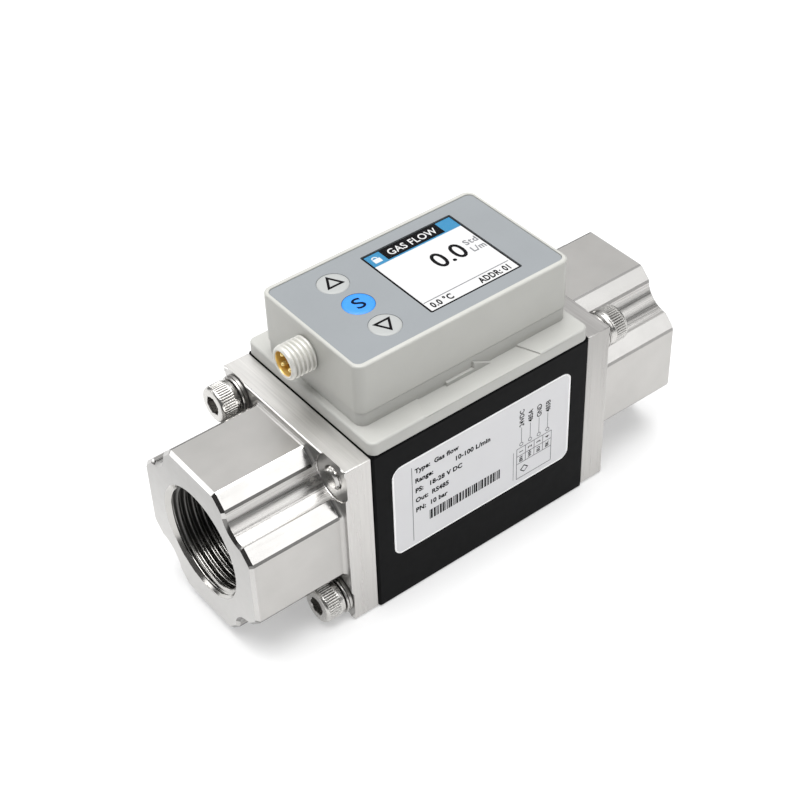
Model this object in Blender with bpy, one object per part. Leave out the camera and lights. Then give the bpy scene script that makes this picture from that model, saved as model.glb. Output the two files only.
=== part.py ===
"""Inline mass flow meter for gas, with G3/4 ports and a display head.

Frame: metres, +Z up.  X is the flow direction (inlet at -X, outlet at +X),
-Y is the side that carries the rating label, and the display looks up.
The origin is on the underside of the flow body, under its centre.
Every size below is in millimetres and is turned into metres by MM.
"""
import math

import bmesh
import bpy
from mathutils import Matrix, Vector

MM = 0.001

# ---------------------------------------------------------------- dimensions
AXIS_Z = 22.4            # height of the flow axis
FLANGE_W = 44.0          # square flange of an end block
FLANGE_BACK = 29.95      # flange face against the flow body
FLANGE_FRONT = 36.6
FLANGE_CHAMFER = 0.35
PORT_END = 59.6          # end face of a port
PORT_AF = 40.56          # octagonal port section, across its flats
PORT_FLAT = 8.43         # half the width of its four upright and level flats
PORT_CHAMFER = 0.75
THREAD_MINOR_R = 12.1    # G3/4 internal thread, at its crests
THREAD_END = 43.6
COUNTERSINK_R = 13.6
BORE_R = 9.5
GRID_SEAT_R = 10.9
GRID_SEAT_X = 31.95
GRID_VANE = 1.0
GRID_WINDOW = 6.6
BOLT_PITCH = 17.2        # bolt axes, sideways and up or down from the flow axis
BOLT_R = 2.5
BOLT_HOLE_R = 2.8
SPOT_R = 5.7             # spot face and channel round each bolt axis
SPOT_X = 36.2
HEAD_R = 4.25
HEAD_X0, HEAD_X1 = 37.95, 42.95
BOLT_TIP = -37.05
SOCKET_AF = 4.0
WASHER_R0, WASHER_R1 = 2.75, 4.4
WASHER_X0, WASHER_X1 = 36.35, 37.75

BODY_X = 29.75           # flow body, half sizes in X and Y, and its top
BODY_Y = 22.4
BODY_TOP = 44.6
CHANNEL_R = 9.0
GROOVE_R0, GROOVE_R1, GROOVE_X = 11.8, 14.0, 27.85
SEAL_R, SEAL_SECTION, SEAL_X = 12.9, 0.8, 28.95

LABEL_X0, LABEL_X1 = -25.05, 24.85
LABEL_Z0, LABEL_Z1 = 12.7, 38.2
LABEL_RADIUS = 2.9

CARRIER_X, CARRIER_Y = 14.7, 9.7
CARRIER_Z0, CARRIER_Z1 = 41.9, 44.3
PLUG_R, PLUG_HOLE_R = 7.9, 8.3
PLUG_Z = 32.0
BLADE_Z = 21.0
CARRIER_SCREW_X = 11.2

GASKET_Z0, GASKET_Z1 = 44.7, 45.0
PLATE_X, PLATE_Y, PLATE_R = 29.8, 22.24, 1.8
PLATE_Z0, PLATE_Z1 = 45.1, 47.95
LEDGE_STEP = 0.3
SKIRT_X, SKIRT_Y, SKIRT_R = 28.3, 16.8, 2.15
SKIRT_Z1 = 51.4
BASE_SCREW = (22.3, 10.5)
BOSS = (17.0, 12.6)

HOUSE_X, HOUSE_Y, HOUSE_R = 28.5, 16.95, 2.3
HOUSE_Z0, HOUSE_Z1 = 51.55, 63.95
CAVITY_X, CAVITY_Y, CAVITY_Z = 26.5, 14.95, 61.8
RECESS_X, RECESS_Y, RECESS_Z = 27.7, 15.8, 62.95
PANEL_X, PANEL_Y, PANEL_Z0, PANEL_Z1 = 27.55, 15.65, 63.05, 63.65
SCREEN_C = (6.85, 0.35)  # centre of the display
SCREEN_HX, SCREEN_HY = 12.15, 12.05
MODULE_H = 13.1
MODULE_Z0, MODULE_Z1 = 60.9, 62.6
WINDOW_Z0, WINDOW_Z1 = 62.7, 63.5

BUTTON_X = -15.3
BUTTON_Y = (8.97, 0.05, -8.95)
BUTTON_R, BUTTON_HOLE_R, BUTTON_FLANGE_R = 3.5, 3.85, 4.2
BUTTON_TRAVEL = 0.5

CONN_Y, CONN_Z = 0.55, 57.6
CONN_R, CONN_NECK_R, CONN_BORE_R = 3.95, 3.3, 2.8
CONN_TIP, CONN_SHOULDER, CONN_END = -34.75, -28.65, -24.0
PIN_PITCH = 1.25
PIN_R = 0.42
PIN_TIP = -34.2

BOARD_X0, BOARD_X1, BOARD_Y = -20.0, 25.5, 13.2
BOARD_Z0, BOARD_Z1 = 54.0, 55.6

for old in list(bpy.data.objects):
    bpy.data.objects.remove(old, do_unlink=True)


# ------------------------------------------------------------------- helpers
def material(name, rgb, rough, metal=0.0, alpha=1.0):
    mat = bpy.data.materials.new(name)
    mat.use_nodes = True
    bsdf = mat.node_tree.nodes["Principled BSDF"]
    bsdf.inputs["Base Color"].default_value = (*rgb, 1.0)
    bsdf.inputs["Roughness"].default_value = rough
    bsdf.inputs["Metallic"].default_value = metal
    bsdf.inputs["Alpha"].default_value = alpha
    mat.diffuse_color = (*rgb, alpha)
    return mat


def make(name, bm, mat=None, at=(0, 0, 0), turn=None):
    """Object from a bmesh drawn in millimetres about its own origin."""
    bmesh.ops.recalc_face_normals(bm, faces=bm.faces)
    bm.transform(Matrix.Scale(MM, 4))
    mesh = bpy.data.meshes.new(name)
    bm.to_mesh(mesh)
    bm.free()
    obj = bpy.data.objects.new(name, mesh)
    bpy.context.scene.collection.objects.link(obj)
    obj.location = Vector(at) * MM
    if turn is not None:
        obj.rotation_euler = turn
    if mat is not None:
        mesh.materials.append(mat)
    else:
        obj.hide_render = True
        obj.display_type = "WIRE"
    return obj


def smooth(obj, degrees=35):
    obj.data.shade_smooth()
    obj.data.set_sharp_from_angle(angle=math.radians(degrees))
    return obj


def outline(hx, hy, r, n=4):
    """Rounded rectangle, anticlockwise, n steps in each corner."""
    pts = []
    for cx, cy, a0 in ((hx - r, hy - r, 0), (r - hx, hy - r, 90),
                       (r - hx, r - hy, 180), (hx - r, r - hy, 270)):
        for k in range(n + 1):
            a = math.radians(a0 + 90 * k / n)
            pts.append((cx + r * math.cos(a), cy + r * math.sin(a)))
    return pts


def prism(pts, lo, hi, plane="XY"):
    """Extrude a polygon along the axis that its plane leaves out."""
    bm = bmesh.new()
    place = {"XY": lambda u, v, w: (u, v, w),
             "XZ": lambda u, v, w: (u, w, v),
             "YZ": lambda u, v, w: (w, u, v)}[plane]
    verts = [bm.verts.new(place(u, v, lo)) for u, v in pts]
    face = bm.faces.new(verts)
    lifted = bmesh.ops.extrude_face_region(bm, geom=[face])
    step = Vector(place(0, 0, hi - lo))
    bmesh.ops.translate(bm, vec=step, verts=[
        v for v in lifted["geom"] if isinstance(v, bmesh.types.BMVert)])
    return bm


def block(x0, x1, y0, y1, z0, z1):
    return prism([(x0, y0), (x1, y0), (x1, y1), (x0, y1)], z0, z1)


def turned(profile, n, axis="X", phase=0.0):
    """Turn a closed profile of (along, radius) points about an axis.

    Points at radius 0 end on the axis.
    """
    bm = bmesh.new()
    around = {"X": (1, 0, 0), "Y": (0, 1, 0), "Z": (0, 0, 1)}[axis]
    place = {"X": lambda a, r: (a, 0, r),
             "Y": lambda a, r: (r, a, 0),
             "Z": lambda a, r: (r, 0, a)}[axis]
    verts = [bm.verts.new(place(a, r)) for a, r in profile]
    edges = [bm.edges.new((verts[i], verts[i + 1])) for i in range(len(verts) - 1)]
    if profile[0][1] > 0 or profile[-1][1] > 0:
        edges.append(bm.edges.new((verts[-1], verts[0])))
    bmesh.ops.spin(bm, geom=verts + edges, cent=(0, 0, 0), axis=around,
                   angle=2 * math.pi, steps=n, use_merge=True)
    bmesh.ops.remove_doubles(bm, verts=bm.verts, dist=1e-5)
    bmesh.ops.dissolve_degenerate(bm, edges=bm.edges, dist=1e-6)
    if phase:
        bmesh.ops.rotate(bm, cent=(0, 0, 0), verts=bm.verts,
                         matrix=Matrix.Rotation(phase, 3, Vector(around)))
    return bm


def rod(a0, a1, r, n, axis="X", phase=0.0):
    return turned([(a0, 0), (a0, r), (a1, r), (a1, 0)], n, axis, phase)


def ring(a0, a1, r0, r1, n, axis="X", phase=0.0):
    return turned([(a0, r0), (a0, r1), (a1, r1), (a1, r0)], n, axis, phase)


def torus(at, r, section, n, m, axis="X"):
    prof = [(at + section * math.cos(2 * math.pi * (k + 0.5) / m),
             r + section * math.sin(2 * math.pi * (k + 0.5) / m)) for k in range(m)]
    return turned(prof, n, axis)


def hexagon(af, phase=0.0):
    r = af / math.sqrt(3)
    return [(r * math.cos(phase + math.pi * k / 3),
             r * math.sin(phase + math.pi * k / 3)) for k in range(6)]


def combine(obj, tools, operation="DIFFERENCE"):
    for tool in tools:
        mod = obj.modifiers.new(operation.title(), "BOOLEAN")
        mod.operation = operation
        mod.solver = "EXACT"
        mod.object = tool
    return obj


def bevel(bm, width, keep, segments=1):
    """Bevel the edges of a bmesh whose two end points both pass keep."""
    edges = [e for e in bm.edges if keep(e.verts[0].co) and keep(e.verts[1].co)]
    bmesh.ops.bevel(bm, geom=edges, offset=width, segments=segments, profile=0.5,
                    affect="EDGES", clamp_overlap=True)
    return bm


# ----------------------------------------------------------------- materials
STEEL = material("stainless_steel", (0.55, 0.54, 0.52), 0.30, 1.0)
BOLT_STEEL = material("bolt_steel", (0.60, 0.59, 0.57), 0.25, 1.0)
BLACK = material("black_anodised", (0.017, 0.017, 0.018), 0.45, 0.2)
SEAL = material("seal_rubber", (0.012, 0.012, 0.012), 0.60)
GRID_STEEL = material("grid_steel", (0.50, 0.50, 0.49), 0.35, 1.0)
CARRIER = material("carrier_plastic", (0.05, 0.05, 0.055), 0.50)
BOARD = material("circuit_board", (0.02, 0.12, 0.05), 0.45)
SENSOR = material("sensor_ceramic", (0.75, 0.74, 0.70), 0.40)
GOLD = material("gold_contact", (0.80, 0.52, 0.16), 0.20, 1.0)
BASE = material("base_plastic", (0.56, 0.56, 0.54), 0.50)
HOUSING = material("housing_plastic", (0.44, 0.44, 0.42), 0.48)
PANEL = material("panel_film", (0.42, 0.46, 0.48), 0.55)
WINDOW = material("window_clear", (0.95, 0.97, 0.98), 0.05, 0.0, 0.2)
MODULE = material("display_face", (0.80, 0.82, 0.84), 0.35)
HOLDER = material("holder_plastic", (0.10, 0.10, 0.105), 0.50)
KEY_LIGHT = material("key_light", (0.56, 0.58, 0.58), 0.42)
KEY_BLUE = material("key_blue", (0.06, 0.36, 0.90), 0.40)
SWITCH = material("switch_body", (0.04, 0.04, 0.045), 0.45)
NICKEL = material("connector_nickel", (0.78, 0.76, 0.73), 0.30, 1.0)
INSERT = material("connector_insert", (0.60, 0.38, 0.10), 0.40)
LABEL = material("label_film", (0.66, 0.67, 0.68), 0.45)
SCREW = material("screw_steel", (0.50, 0.50, 0.50), 0.35, 1.0)
FLEX = material("flex_lead", (0.55, 0.30, 0.05), 0.45)


# ---------------------------------------------------------------- end blocks
def end_block():
    h = FLANGE_W / 2
    flange = block(FLANGE_BACK, FLANGE_FRONT, -h, h, -h, h)
    bevel(flange, FLANGE_CHAMFER, lambda c: True)
    p, t = PORT_AF / 2, PORT_FLAT
    octagon = [(p, -t), (p, t), (t, p), (-t, p), (-p, t), (-p, -t), (-t, -p), (t, -p)]
    port = prism(octagon, FLANGE_FRONT - 2, PORT_END, "YZ")
    bevel(port, PORT_CHAMFER, lambda c: c.x > PORT_END - 0.01)
    obj = make("outlet_end_block", flange, STEEL, (0, 0, AXIS_Z))
    tool_port = make("tool_port", port, None, (0, 0, AXIS_Z))
    bore = turned([(FLANGE_BACK - 1, 0), (FLANGE_BACK - 1, GRID_SEAT_R),
                   (GRID_SEAT_X, GRID_SEAT_R), (GRID_SEAT_X, BORE_R),
                   (THREAD_END - 1.3, BORE_R), (THREAD_END, THREAD_MINOR_R),
                   (PORT_END - (COUNTERSINK_R - THREAD_MINOR_R), THREAD_MINOR_R),
                   (PORT_END, COUNTERSINK_R), (PORT_END + 1, COUNTERSINK_R + 1),
                   (PORT_END + 1, 0)], 40, phase=0.04)
    tools = [make("tool_port_bore", bore, None, (0, 0, AXIS_Z))]
    for k, (sy, sz) in enumerate(((1, 1), (-1, 1), (-1, -1), (1, -1))):
        at = (0, sy * BOLT_PITCH, AXIS_Z + sz * BOLT_PITCH)
        tools.append(make("tool_spot_%d" % k, rod(SPOT_X, PORT_END + 2, SPOT_R, 28, phase=0.05),
                          None, at))
        tools.append(make("tool_bolt_hole_%d" % k,
                          rod(FLANGE_BACK - 1, SPOT_X + 1, BOLT_HOLE_R, 12, phase=0.03), None, at))
    combine(obj, [tool_port], "UNION")
    combine(obj, tools)
    smooth(obj)
    return obj


def twin_of(obj, name):
    """The same block turned half a turn about Z, for the inlet."""
    other = bpy.data.objects.new(name, obj.data)
    bpy.context.scene.collection.objects.link(other)
    other.location = obj.location
    other.rotation_euler = (0, 0, math.pi)
    for mod in obj.modifiers:
        tool = mod.object.copy()
        tool.name = mod.object.name + "_in"
        bpy.context.scene.collection.objects.link(tool)
        tool.matrix_world = Matrix.Rotation(math.pi, 4, "Z") @ mod.object.matrix_basis
        twin = other.modifiers.new(mod.name, "BOOLEAN")
        twin.operation = mod.operation
        twin.solver = "EXACT"
        twin.object = tool
    return other


outlet = end_block()
inlet = twin_of(outlet, "inlet_end_block")


# ------------------------------------------------------- bolts, washers, seals
def tie_bolt(name, sy, sz, toward):
    """Socket head screw that runs through the body into the far end block."""
    c = 0.45
    prof = [(BOLT_TIP, 0), (BOLT_TIP, BOLT_R - 0.7), (BOLT_TIP + 0.7, BOLT_R), (HEAD_X0, BOLT_R),
            (HEAD_X0, HEAD_R), (HEAD_X1 - c, HEAD_R), (HEAD_X1, HEAD_R - c), (HEAD_X1, 0)]
    at = (0, sy * BOLT_PITCH, AXIS_Z + sz * BOLT_PITCH)
    turn = (0, 0, 0) if toward > 0 else (0, 0, math.pi)
    obj = make(name, turned(prof, 16), BOLT_STEEL, at, turn)
    socket = make("tool_" + name, prism(hexagon(SOCKET_AF, 0.26), HEAD_X1 - 2.6, HEAD_X1 + 1, "YZ"),
                  None, at, turn)
    combine(obj, [socket])
    return smooth(obj)


def spring_washer(name, sy, sz, toward):
    """Split ring, its two ends a little apart along the bolt."""
    bm = bmesh.new()
    steps, gap, lift = 22, math.radians(12), 0.12
    thick = WASHER_X1 - WASHER_X0 - lift
    rings = []
    for k in range(steps + 1):
        a = gap / 2 + (2 * math.pi - gap) * k / steps
        x0 = WASHER_X0 + lift * k / steps
        rings.append([bm.verts.new((x, r * math.cos(a), r * math.sin(a)))
                      for x, r in ((x0, WASHER_R0), (x0 + thick, WASHER_R0),
                                   (x0 + thick, WASHER_R1), (x0, WASHER_R1))])
    for one, two in zip(rings, rings[1:]):
        for i in range(4):
            bm.faces.new((one[i], one[(i + 1) % 4], two[(i + 1) % 4], two[i]))
    bm.faces.new(rings[0])
    bm.faces.new(list(reversed(rings[-1])))
    at = (0, sy * BOLT_PITCH, AXIS_Z + sz * BOLT_PITCH)
    obj = make(name, bm, BOLT_STEEL, at, (0, 0, 0) if toward > 0 else (0, 0, math.pi))
    return smooth(obj)


PLACES = (("inlet_bolt_upper", "inlet_washer_upper", 1, 1, -1),
          ("inlet_bolt_lower", "inlet_washer_lower", -1, -1, -1),
          ("outlet_bolt_upper", "outlet_washer_upper", -1, 1, 1),
          ("outlet_bolt_lower", "outlet_washer_lower", 1, -1, 1))
for bolt_name, washer_name, sy, sz, toward in PLACES:
    tie_bolt(bolt_name, sy, sz, toward)
    spring_washer(washer_name, sy, sz, toward)

for side, sx in (("inlet", -1), ("outlet", 1)):
    smooth(make(side + "_seal", torus(sx * SEAL_X, SEAL_R, SEAL_SECTION, 28, 6), SEAL,
                (0, 0, AXIS_Z)), 80)


def flow_grid(name, sx):
    """Disc with four square windows that straightens the flow ahead of the sensor."""
    x0, x1 = sorted((sx * 30.25, sx * 31.65))
    obj = make(name, rod(x0, x1, 10.6, 32), GRID_STEEL, (0, 0, AXIS_Z))
    tools = []
    for k, (sy, sz) in enumerate(((1, 1), (-1, 1), (-1, -1), (1, -1))):
        y0, y1 = sorted((sy * GRID_VANE / 2, sy * GRID_WINDOW))
        z0, z1 = sorted((sz * GRID_VANE / 2, sz * GRID_WINDOW))
        tools.append(make("tool_%s_%d" % (name, k), block(x0 - 1, x1 + 1, y0, y1, z0, z1), None,
                          (0, 0, AXIS_Z)))
    combine(obj, tools)
    return smooth(obj)


flow_grid("inlet_flow_grid", -1)
flow_grid("outlet_flow_grid", 1)

# ----------------------------------------------------------------- flow body
body = block(-BODY_X, BODY_X, -BODY_Y, BODY_Y, 0, BODY_TOP)
bevel(body, 0.4, lambda c: True)
flow_body = make("flow_body", body, BLACK)
cuts = [make("tool_channel", rod(-BODY_X - 1, BODY_X + 1, CHANNEL_R, 32, phase=0.04), None,
             (0, 0, AXIS_Z))]
for sx in (-1, 1):
    a0, a1 = sorted((sx * GROOVE_X, sx * (BODY_X + 1)))
    cuts.append(make("tool_groove_%d" % sx, ring(a0, a1, GROOVE_R0, GROOVE_R1, 28), None,
                     (0, 0, AXIS_Z)))
for k, (sy, sz) in enumerate(((1, 1), (-1, 1), (-1, -1), (1, -1))):
    cuts.append(make("tool_tie_%d" % k, rod(-BODY_X - 1, BODY_X + 1, BOLT_HOLE_R, 12, phase=0.03),
                     None, (0, sy * BOLT_PITCH, AXIS_Z + sz * BOLT_PITCH)))
cuts.append(make("tool_carrier_seat", prism(outline(15.0, 10.0, 2.0, 3), 41.6, BODY_TOP + 1), None))
cuts.append(make("tool_carrier_hole", rod(AXIS_Z + 1, 42.2, PLUG_HOLE_R, 28, "Z", 0.05), None))
for sx in (-1, 1):
    cuts.append(make("tool_carrier_screw_%d" % sx, rod(33.5, 42.2, 1.55, 8, "Z", 0.1), None,
                     (sx * CARRIER_SCREW_X, 0, 0)))
for k, (sx, sy) in enumerate(((1, 1), (-1, 1), (-1, -1), (1, -1))):
    cuts.append(make("tool_base_screw_%d" % k, rod(35.8, BODY_TOP + 1, 1.55, 8, "Z", 0.1), None,
                     (sx * BASE_SCREW[0], sy * BASE_SCREW[1], 0)))
lx, lz = (LABEL_X0 + LABEL_X1) / 2, (LABEL_Z0 + LABEL_Z1) / 2
lhx, lhz = (LABEL_X1 - LABEL_X0) / 2, (LABEL_Z1 - LABEL_Z0) / 2
cuts.append(make("tool_label_seat", prism(outline(lhx + 0.15, lhz + 0.15, LABEL_RADIUS, 5),
                                          -BODY_Y - 1, -BODY_Y + 0.5, "XZ"), None, (lx, 0, lz)))
combine(flow_body, cuts)
smooth(flow_body)

make("label_plate", prism(outline(lhx, lhz, LABEL_RADIUS - 0.1, 5), -BODY_Y + 0.1,
                          -BODY_Y + 0.4, "XZ"), LABEL, (lx, 0, lz))

# -------------------------------------------------------------- sensor group
carrier = make("sensor_carrier", prism(outline(CARRIER_X, CARRIER_Y, 1.7, 3), CARRIER_Z0,
                                       CARRIER_Z1), CARRIER)
plug = turned([(PLUG_Z, 0), (PLUG_Z, PLUG_R), (35.95, PLUG_R), (35.95, 6.2), (38.05, 6.2),
               (38.05, PLUG_R), (CARRIER_Z0 + 1, PLUG_R), (CARRIER_Z0 + 1, 0)], 28, "Z")
blade = block(-7.0, 7.0, -1.5, 1.5, BLADE_Z, PLUG_Z + 1)
bevel(blade, 0.5, lambda c: c.z < BLADE_Z + 0.01)
combine(carrier, [make("tool_plug", plug, None), make("tool_blade", blade, None)], "UNION")
combine(carrier, [make("tool_sensor_pocket", block(-4.3, 4.3, -2.5, -0.3, 22.2, 30.6), None)]
        + [make("tool_carrier_clear_%d" % sx, rod(40, 46, 1.55, 8, "Z", 0.1), None,
                (sx * CARRIER_SCREW_X, 0, 0)) for sx in (-1, 1)])
smooth(carrier)
sensor = block(-4.0, 4.0, -1.3, -0.6, 22.5, 30.3)
bevel(sensor, 0.1, lambda c: c.y < -1.29)
make("sensor_element", sensor, SENSOR)
smooth(make("sensor_seal", torus(37.0, 7.25, 0.75, 24, 6, "Z"), SEAL), 80)


def small_screw(name, x, y, under, length, mat):
    """Socket button screw, head up."""
    prof = [(under - length, 0), (under - length, 0.9), (under - length + 0.4, 1.25),
            (under, 1.25), (under, 2.2), (under + 1.1, 2.2), (under + 1.5, 1.6), (under + 1.5, 0)]
    obj = make(name, turned(prof, 12, "Z"), mat, (x, y, 0))
    combine(obj, [make("tool_" + name, prism(hexagon(1.5), under + 0.7, under + 3), None,
                       (x, y, 0))])
    return smooth(obj)


small_screw("carrier_screw_inlet", -CARRIER_SCREW_X, 0, CARRIER_Z1 + 0.1, 9.5, SCREW)
small_screw("carrier_screw_outlet", CARRIER_SCREW_X, 0, CARRIER_Z1 + 0.1, 9.5, SCREW)
header = block(-5.5, 5.5, -1.6, 1.6, CARRIER_Z1 + 0.3, BOARD_Z0 - 0.3)
bevel(header, 0.3, lambda c: c.z > 50)
make("sensor_header", header, HOLDER)

# ------------------------------------------------------------ gasket and base
gasket = make("body_gasket", prism(outline(29.3, 21.9, 1.5, 3), GASKET_Z0, GASKET_Z1), SEAL)
combine(gasket, [make("tool_gasket_open", prism(outline(16, 11, 2, 3), 44, 46), None)]
        + [make("tool_gasket_hole_%d" % k, rod(44, 46, 1.6, 8, "Z", 0.1), None,
                (sx * BASE_SCREW[0], sy * BASE_SCREW[1], 0))
           for k, (sx, sy) in enumerate(((1, 1), (-1, 1), (-1, -1), (1, -1)))])

plate = prism(outline(PLATE_X, PLATE_Y, PLATE_R, 4), PLATE_Z0, PLATE_Z1)
bevel(plate, 0.6, lambda c: c.z > PLATE_Z1 - 0.01)
base = make("base_plate", plate, BASE)
ledge = []
for side, s in (("front", -1), ("back", 1)):
    pts = [(-13.2, s * 16.0), (13.2, s * 16.0), (16.2, s * 23.2), (-16.2, s * 23.2)]
    if s > 0:
        pts.reverse()
    ledge.append(make("tool_ledge_" + side, prism(pts, PLATE_Z1 - LEDGE_STEP, PLATE_Z1 + 1), None))
combine(base, ledge)
skirt = make("tool_skirt", prism(outline(SKIRT_X, SKIRT_Y, SKIRT_R, 4), 46.6, SKIRT_Z1), None)
lip = make("tool_lip", prism(outline(26.2, 14.65, 1.2, 3), 50.0, 53.0), None)
arrow = make("tool_arrow", prism([(-6.1, 47.2), (6.6, 47.2), (1.2, 50.1), (1.2, 48.5),
                                  (-6.1, 48.5)], -SKIRT_Y - 0.45, -SKIRT_Y + 1, "XZ"), None)
combine(base, [skirt, lip, arrow], "UNION")
hollow = [make("tool_skirt_room", prism(outline(25.0, 13.45, 0.8, 3), PLATE_Z1, 55), None),
          make("tool_plate_open", prism(outline(14.0, 8.5, 1.5, 3), 44, 50), None)]
combine(base, hollow)
combine(base, [make("tool_boss_%d" % k, rod(PLATE_Z1 - 1, BOARD_Z0 - 0.3, 2.0, 12, "Z", 0.1),
                    None, (sx * BOSS[0], sy * BOSS[1] * 0.9, 0))
               for k, (sx, sy) in enumerate(((1, 1), (-1, 1), (-1, -1), (1, -1)))], "UNION")
combine(base, [make("tool_base_clear_%d" % k, rod(44, 50, 1.55, 8, "Z", 0.1), None,
                    (sx * BASE_SCREW[0], sy * BASE_SCREW[1], 0))
               for k, (sx, sy) in enumerate(((1, 1), (-1, 1), (-1, -1), (1, -1)))])
smooth(base)
for k, (sx, sy) in enumerate(((-1, -1), (-1, 1), (1, -1), (1, 1))):
    small_screw("base_screw_%d" % (k + 1), sx * BASE_SCREW[0], sy * BASE_SCREW[1],
                PLATE_Z1 + 0.1, 11.8, SCREW)

# -------------------------------------------------------------- display head
shell = prism(outline(HOUSE_X, HOUSE_Y, HOUSE_R, 6), HOUSE_Z0, HOUSE_Z1)
bevel(shell, 0.5, lambda c: c.z > HOUSE_Z1 - 0.01, 2)
housing = make("head_housing", shell, HOUSING)
cuts = [make("tool_cavity", prism(outline(CAVITY_X, CAVITY_Y, 1.3, 3), HOUSE_Z0 - 1, CAVITY_Z),
             None),
        make("tool_recess", prism(outline(RECESS_X, RECESS_Y, 1.5, 4), RECESS_Z, HOUSE_Z1 + 1),
             None),
        make("tool_display_open", prism(outline(13.4, 13.4, 0.6, 2), 61, 63.5), None,
             (*SCREEN_C, 0)),
        make("tool_connector_hole", rod(-30, -26, CONN_NECK_R + 0.3, 20, phase=0.06), None,
             (0, CONN_Y, CONN_Z))]
for k, y in enumerate(BUTTON_Y):
    cuts.append(make("tool_key_%d" % k, rod(61, 63.5, BUTTON_HOLE_R, 24, "Z", 0.05), None,
                     (BUTTON_X, y, 0)))
combine(housing, cuts)
smooth(housing)

panel = make("overlay_panel", prism(outline(PANEL_X, PANEL_Y, 1.4, 4), PANEL_Z0, PANEL_Z1), PANEL)
combine(panel, [make("tool_panel_window", prism(outline(SCREEN_HX + 0.05, SCREEN_HY + 0.05, 0.5, 2),
                                                63, 64), None, (*SCREEN_C, 0))]
        + [make("tool_panel_key_%d" % k, rod(63, 64, BUTTON_HOLE_R, 24, "Z", 0.05), None,
                (BUTTON_X, y, 0)) for k, y in enumerate(BUTTON_Y)])
smooth(panel)

window = prism(outline(SCREEN_HX - 0.12, SCREEN_HY - 0.12, 0.4, 2), WINDOW_Z0, WINDOW_Z1)
bevel(window, 0.12, lambda c: c.z > WINDOW_Z1 - 0.01)
make("display_window", window, WINDOW, (*SCREEN_C, 0))
module = block(-MODULE_H, MODULE_H, -MODULE_H, MODULE_H, MODULE_Z0, MODULE_Z1)
bevel(module, 0.3, lambda c: c.z > MODULE_Z1 - 0.01)
make("display_module", module, MODULE, (*SCREEN_C, 0))
holder = make("display_holder", prism(outline(13.1, 13.0, 0.6, 2), 55.9, 60.6), HOLDER,
              (*SCREEN_C, 0))
combine(holder, [make("tool_holder", prism(outline(11.6, 11.5, 0.6, 2), 55, 62), None,
                      (*SCREEN_C, 0))])

board = make("control_board", block(BOARD_X0, BOARD_X1, -BOARD_Y, BOARD_Y, BOARD_Z0, BOARD_Z1),
             BOARD)
chips = [make("tool_chip", block(1.9, 11.9, -4.6, 5.4, BOARD_Z1 - 0.4, BOARD_Z1 + 1.2), None),
         make("tool_regulator", block(14.0, 17.5, -7.5, -1.0, BOARD_Z1 - 0.4, BOARD_Z1 + 1.6), None)]
combine(board, chips, "UNION")


def switch(name, y):
    body_ = block(-3, 3, -3, 3, 55.9, 59.4)
    bevel(body_, 0.25, lambda c: c.z > 59.3)
    obj = make(name, body_, SWITCH, (BUTTON_X, y, 0))
    combine(obj, [make("tool_" + name, rod(58.4, 59.85, 1.6, 12, "Z"), None, (BUTTON_X, y, 0))],
            "UNION")
    return smooth(obj)


def button(name, y, mat):
    """Key cap with a domed face and a retaining flange, on its travel axis."""
    crown = [(BUTTON_R - 0.28, 63.62), (2.5, 63.76), (1.3, 63.86), (0, 63.89)]
    prof = [(60.5, 0), (60.5, BUTTON_FLANGE_R), (61.5, BUTTON_FLANGE_R), (61.5, BUTTON_R),
            (63.42, BUTTON_R)] + [(z, r) for r, z in crown]
    zero = 60.5
    obj = make(name, turned([(z - zero, r) for z, r in prof], 24, "Z"), mat,
               (BUTTON_X, y, zero))
    return smooth(obj, 40)


for key, y, mat in (("up", BUTTON_Y[0], KEY_LIGHT), ("select", BUTTON_Y[1], KEY_BLUE),
                    ("down", BUTTON_Y[2], KEY_LIGHT)):
    button("button_" + key, y, mat)
    switch("switch_" + key, y)

# ----------------------------------------------------------------- connector
shell = turned([(CONN_TIP, CONN_BORE_R + 0.2), (CONN_TIP, CONN_R - 0.45), (CONN_TIP + 0.45, CONN_R),
                (CONN_SHOULDER - 0.7, CONN_R), (CONN_SHOULDER - 0.35, CONN_R - 0.35),
                (CONN_SHOULDER, CONN_R - 0.35), (CONN_SHOULDER, CONN_NECK_R),
                (CONN_END, CONN_NECK_R), (CONN_END, CONN_BORE_R), (CONN_TIP + 0.2, CONN_BORE_R)],
               24)
smooth(make("connector_shell", shell, NICKEL, (0, CONN_Y, CONN_Z)))
insert = make("connector_insert", rod(-29.4, -21.6, 2.5, 20), INSERT, (0, CONN_Y, CONN_Z))
pin_at = [(sy * PIN_PITCH, sz * PIN_PITCH) for sy, sz in ((-1, 1), (1, 1), (1, -1), (-1, -1))]
combine(insert, [make("tool_insert_%d" % k, rod(-30, -21, PIN_R + 0.26, 8), None,
                      (0, CONN_Y + dy, CONN_Z + dz)) for k, (dy, dz) in enumerate(pin_at)])
smooth(insert)
for k, (dy, dz) in enumerate(pin_at):
    pin = turned([(PIN_TIP, 0), (PIN_TIP, 0.2), (PIN_TIP + 0.3, PIN_R), (-21.2, PIN_R), (-21.2, 0)], 8)
    smooth(make("connector_pin_%d" % (k + 1), pin, GOLD, (0, CONN_Y + dy, CONN_Z + dz)))
make("connector_gasket", ring(-26.35, -25.9, 3.6, 4.1, 24), SEAL, (0, CONN_Y, CONN_Z))
make("connector_retainer", ring(-25.75, -25.05, 3.55, 4.1, 24), SCREW, (0, CONN_Y, CONN_Z))
lead = prism([(-20.9, 55.75), (-18.9, 55.75), (-18.9, 56.05), (-20.6, 56.05), (-20.6, 59.6),
              (-20.9, 59.6)], -1.4, 2.5, "XZ")
make("connector_flex", lead, FLEX)
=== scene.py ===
"""Looks of the inline mass flow meter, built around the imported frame."""
import math

import bmesh
import bpy
import numpy as np
from mathutils import Matrix, Vector


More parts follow.
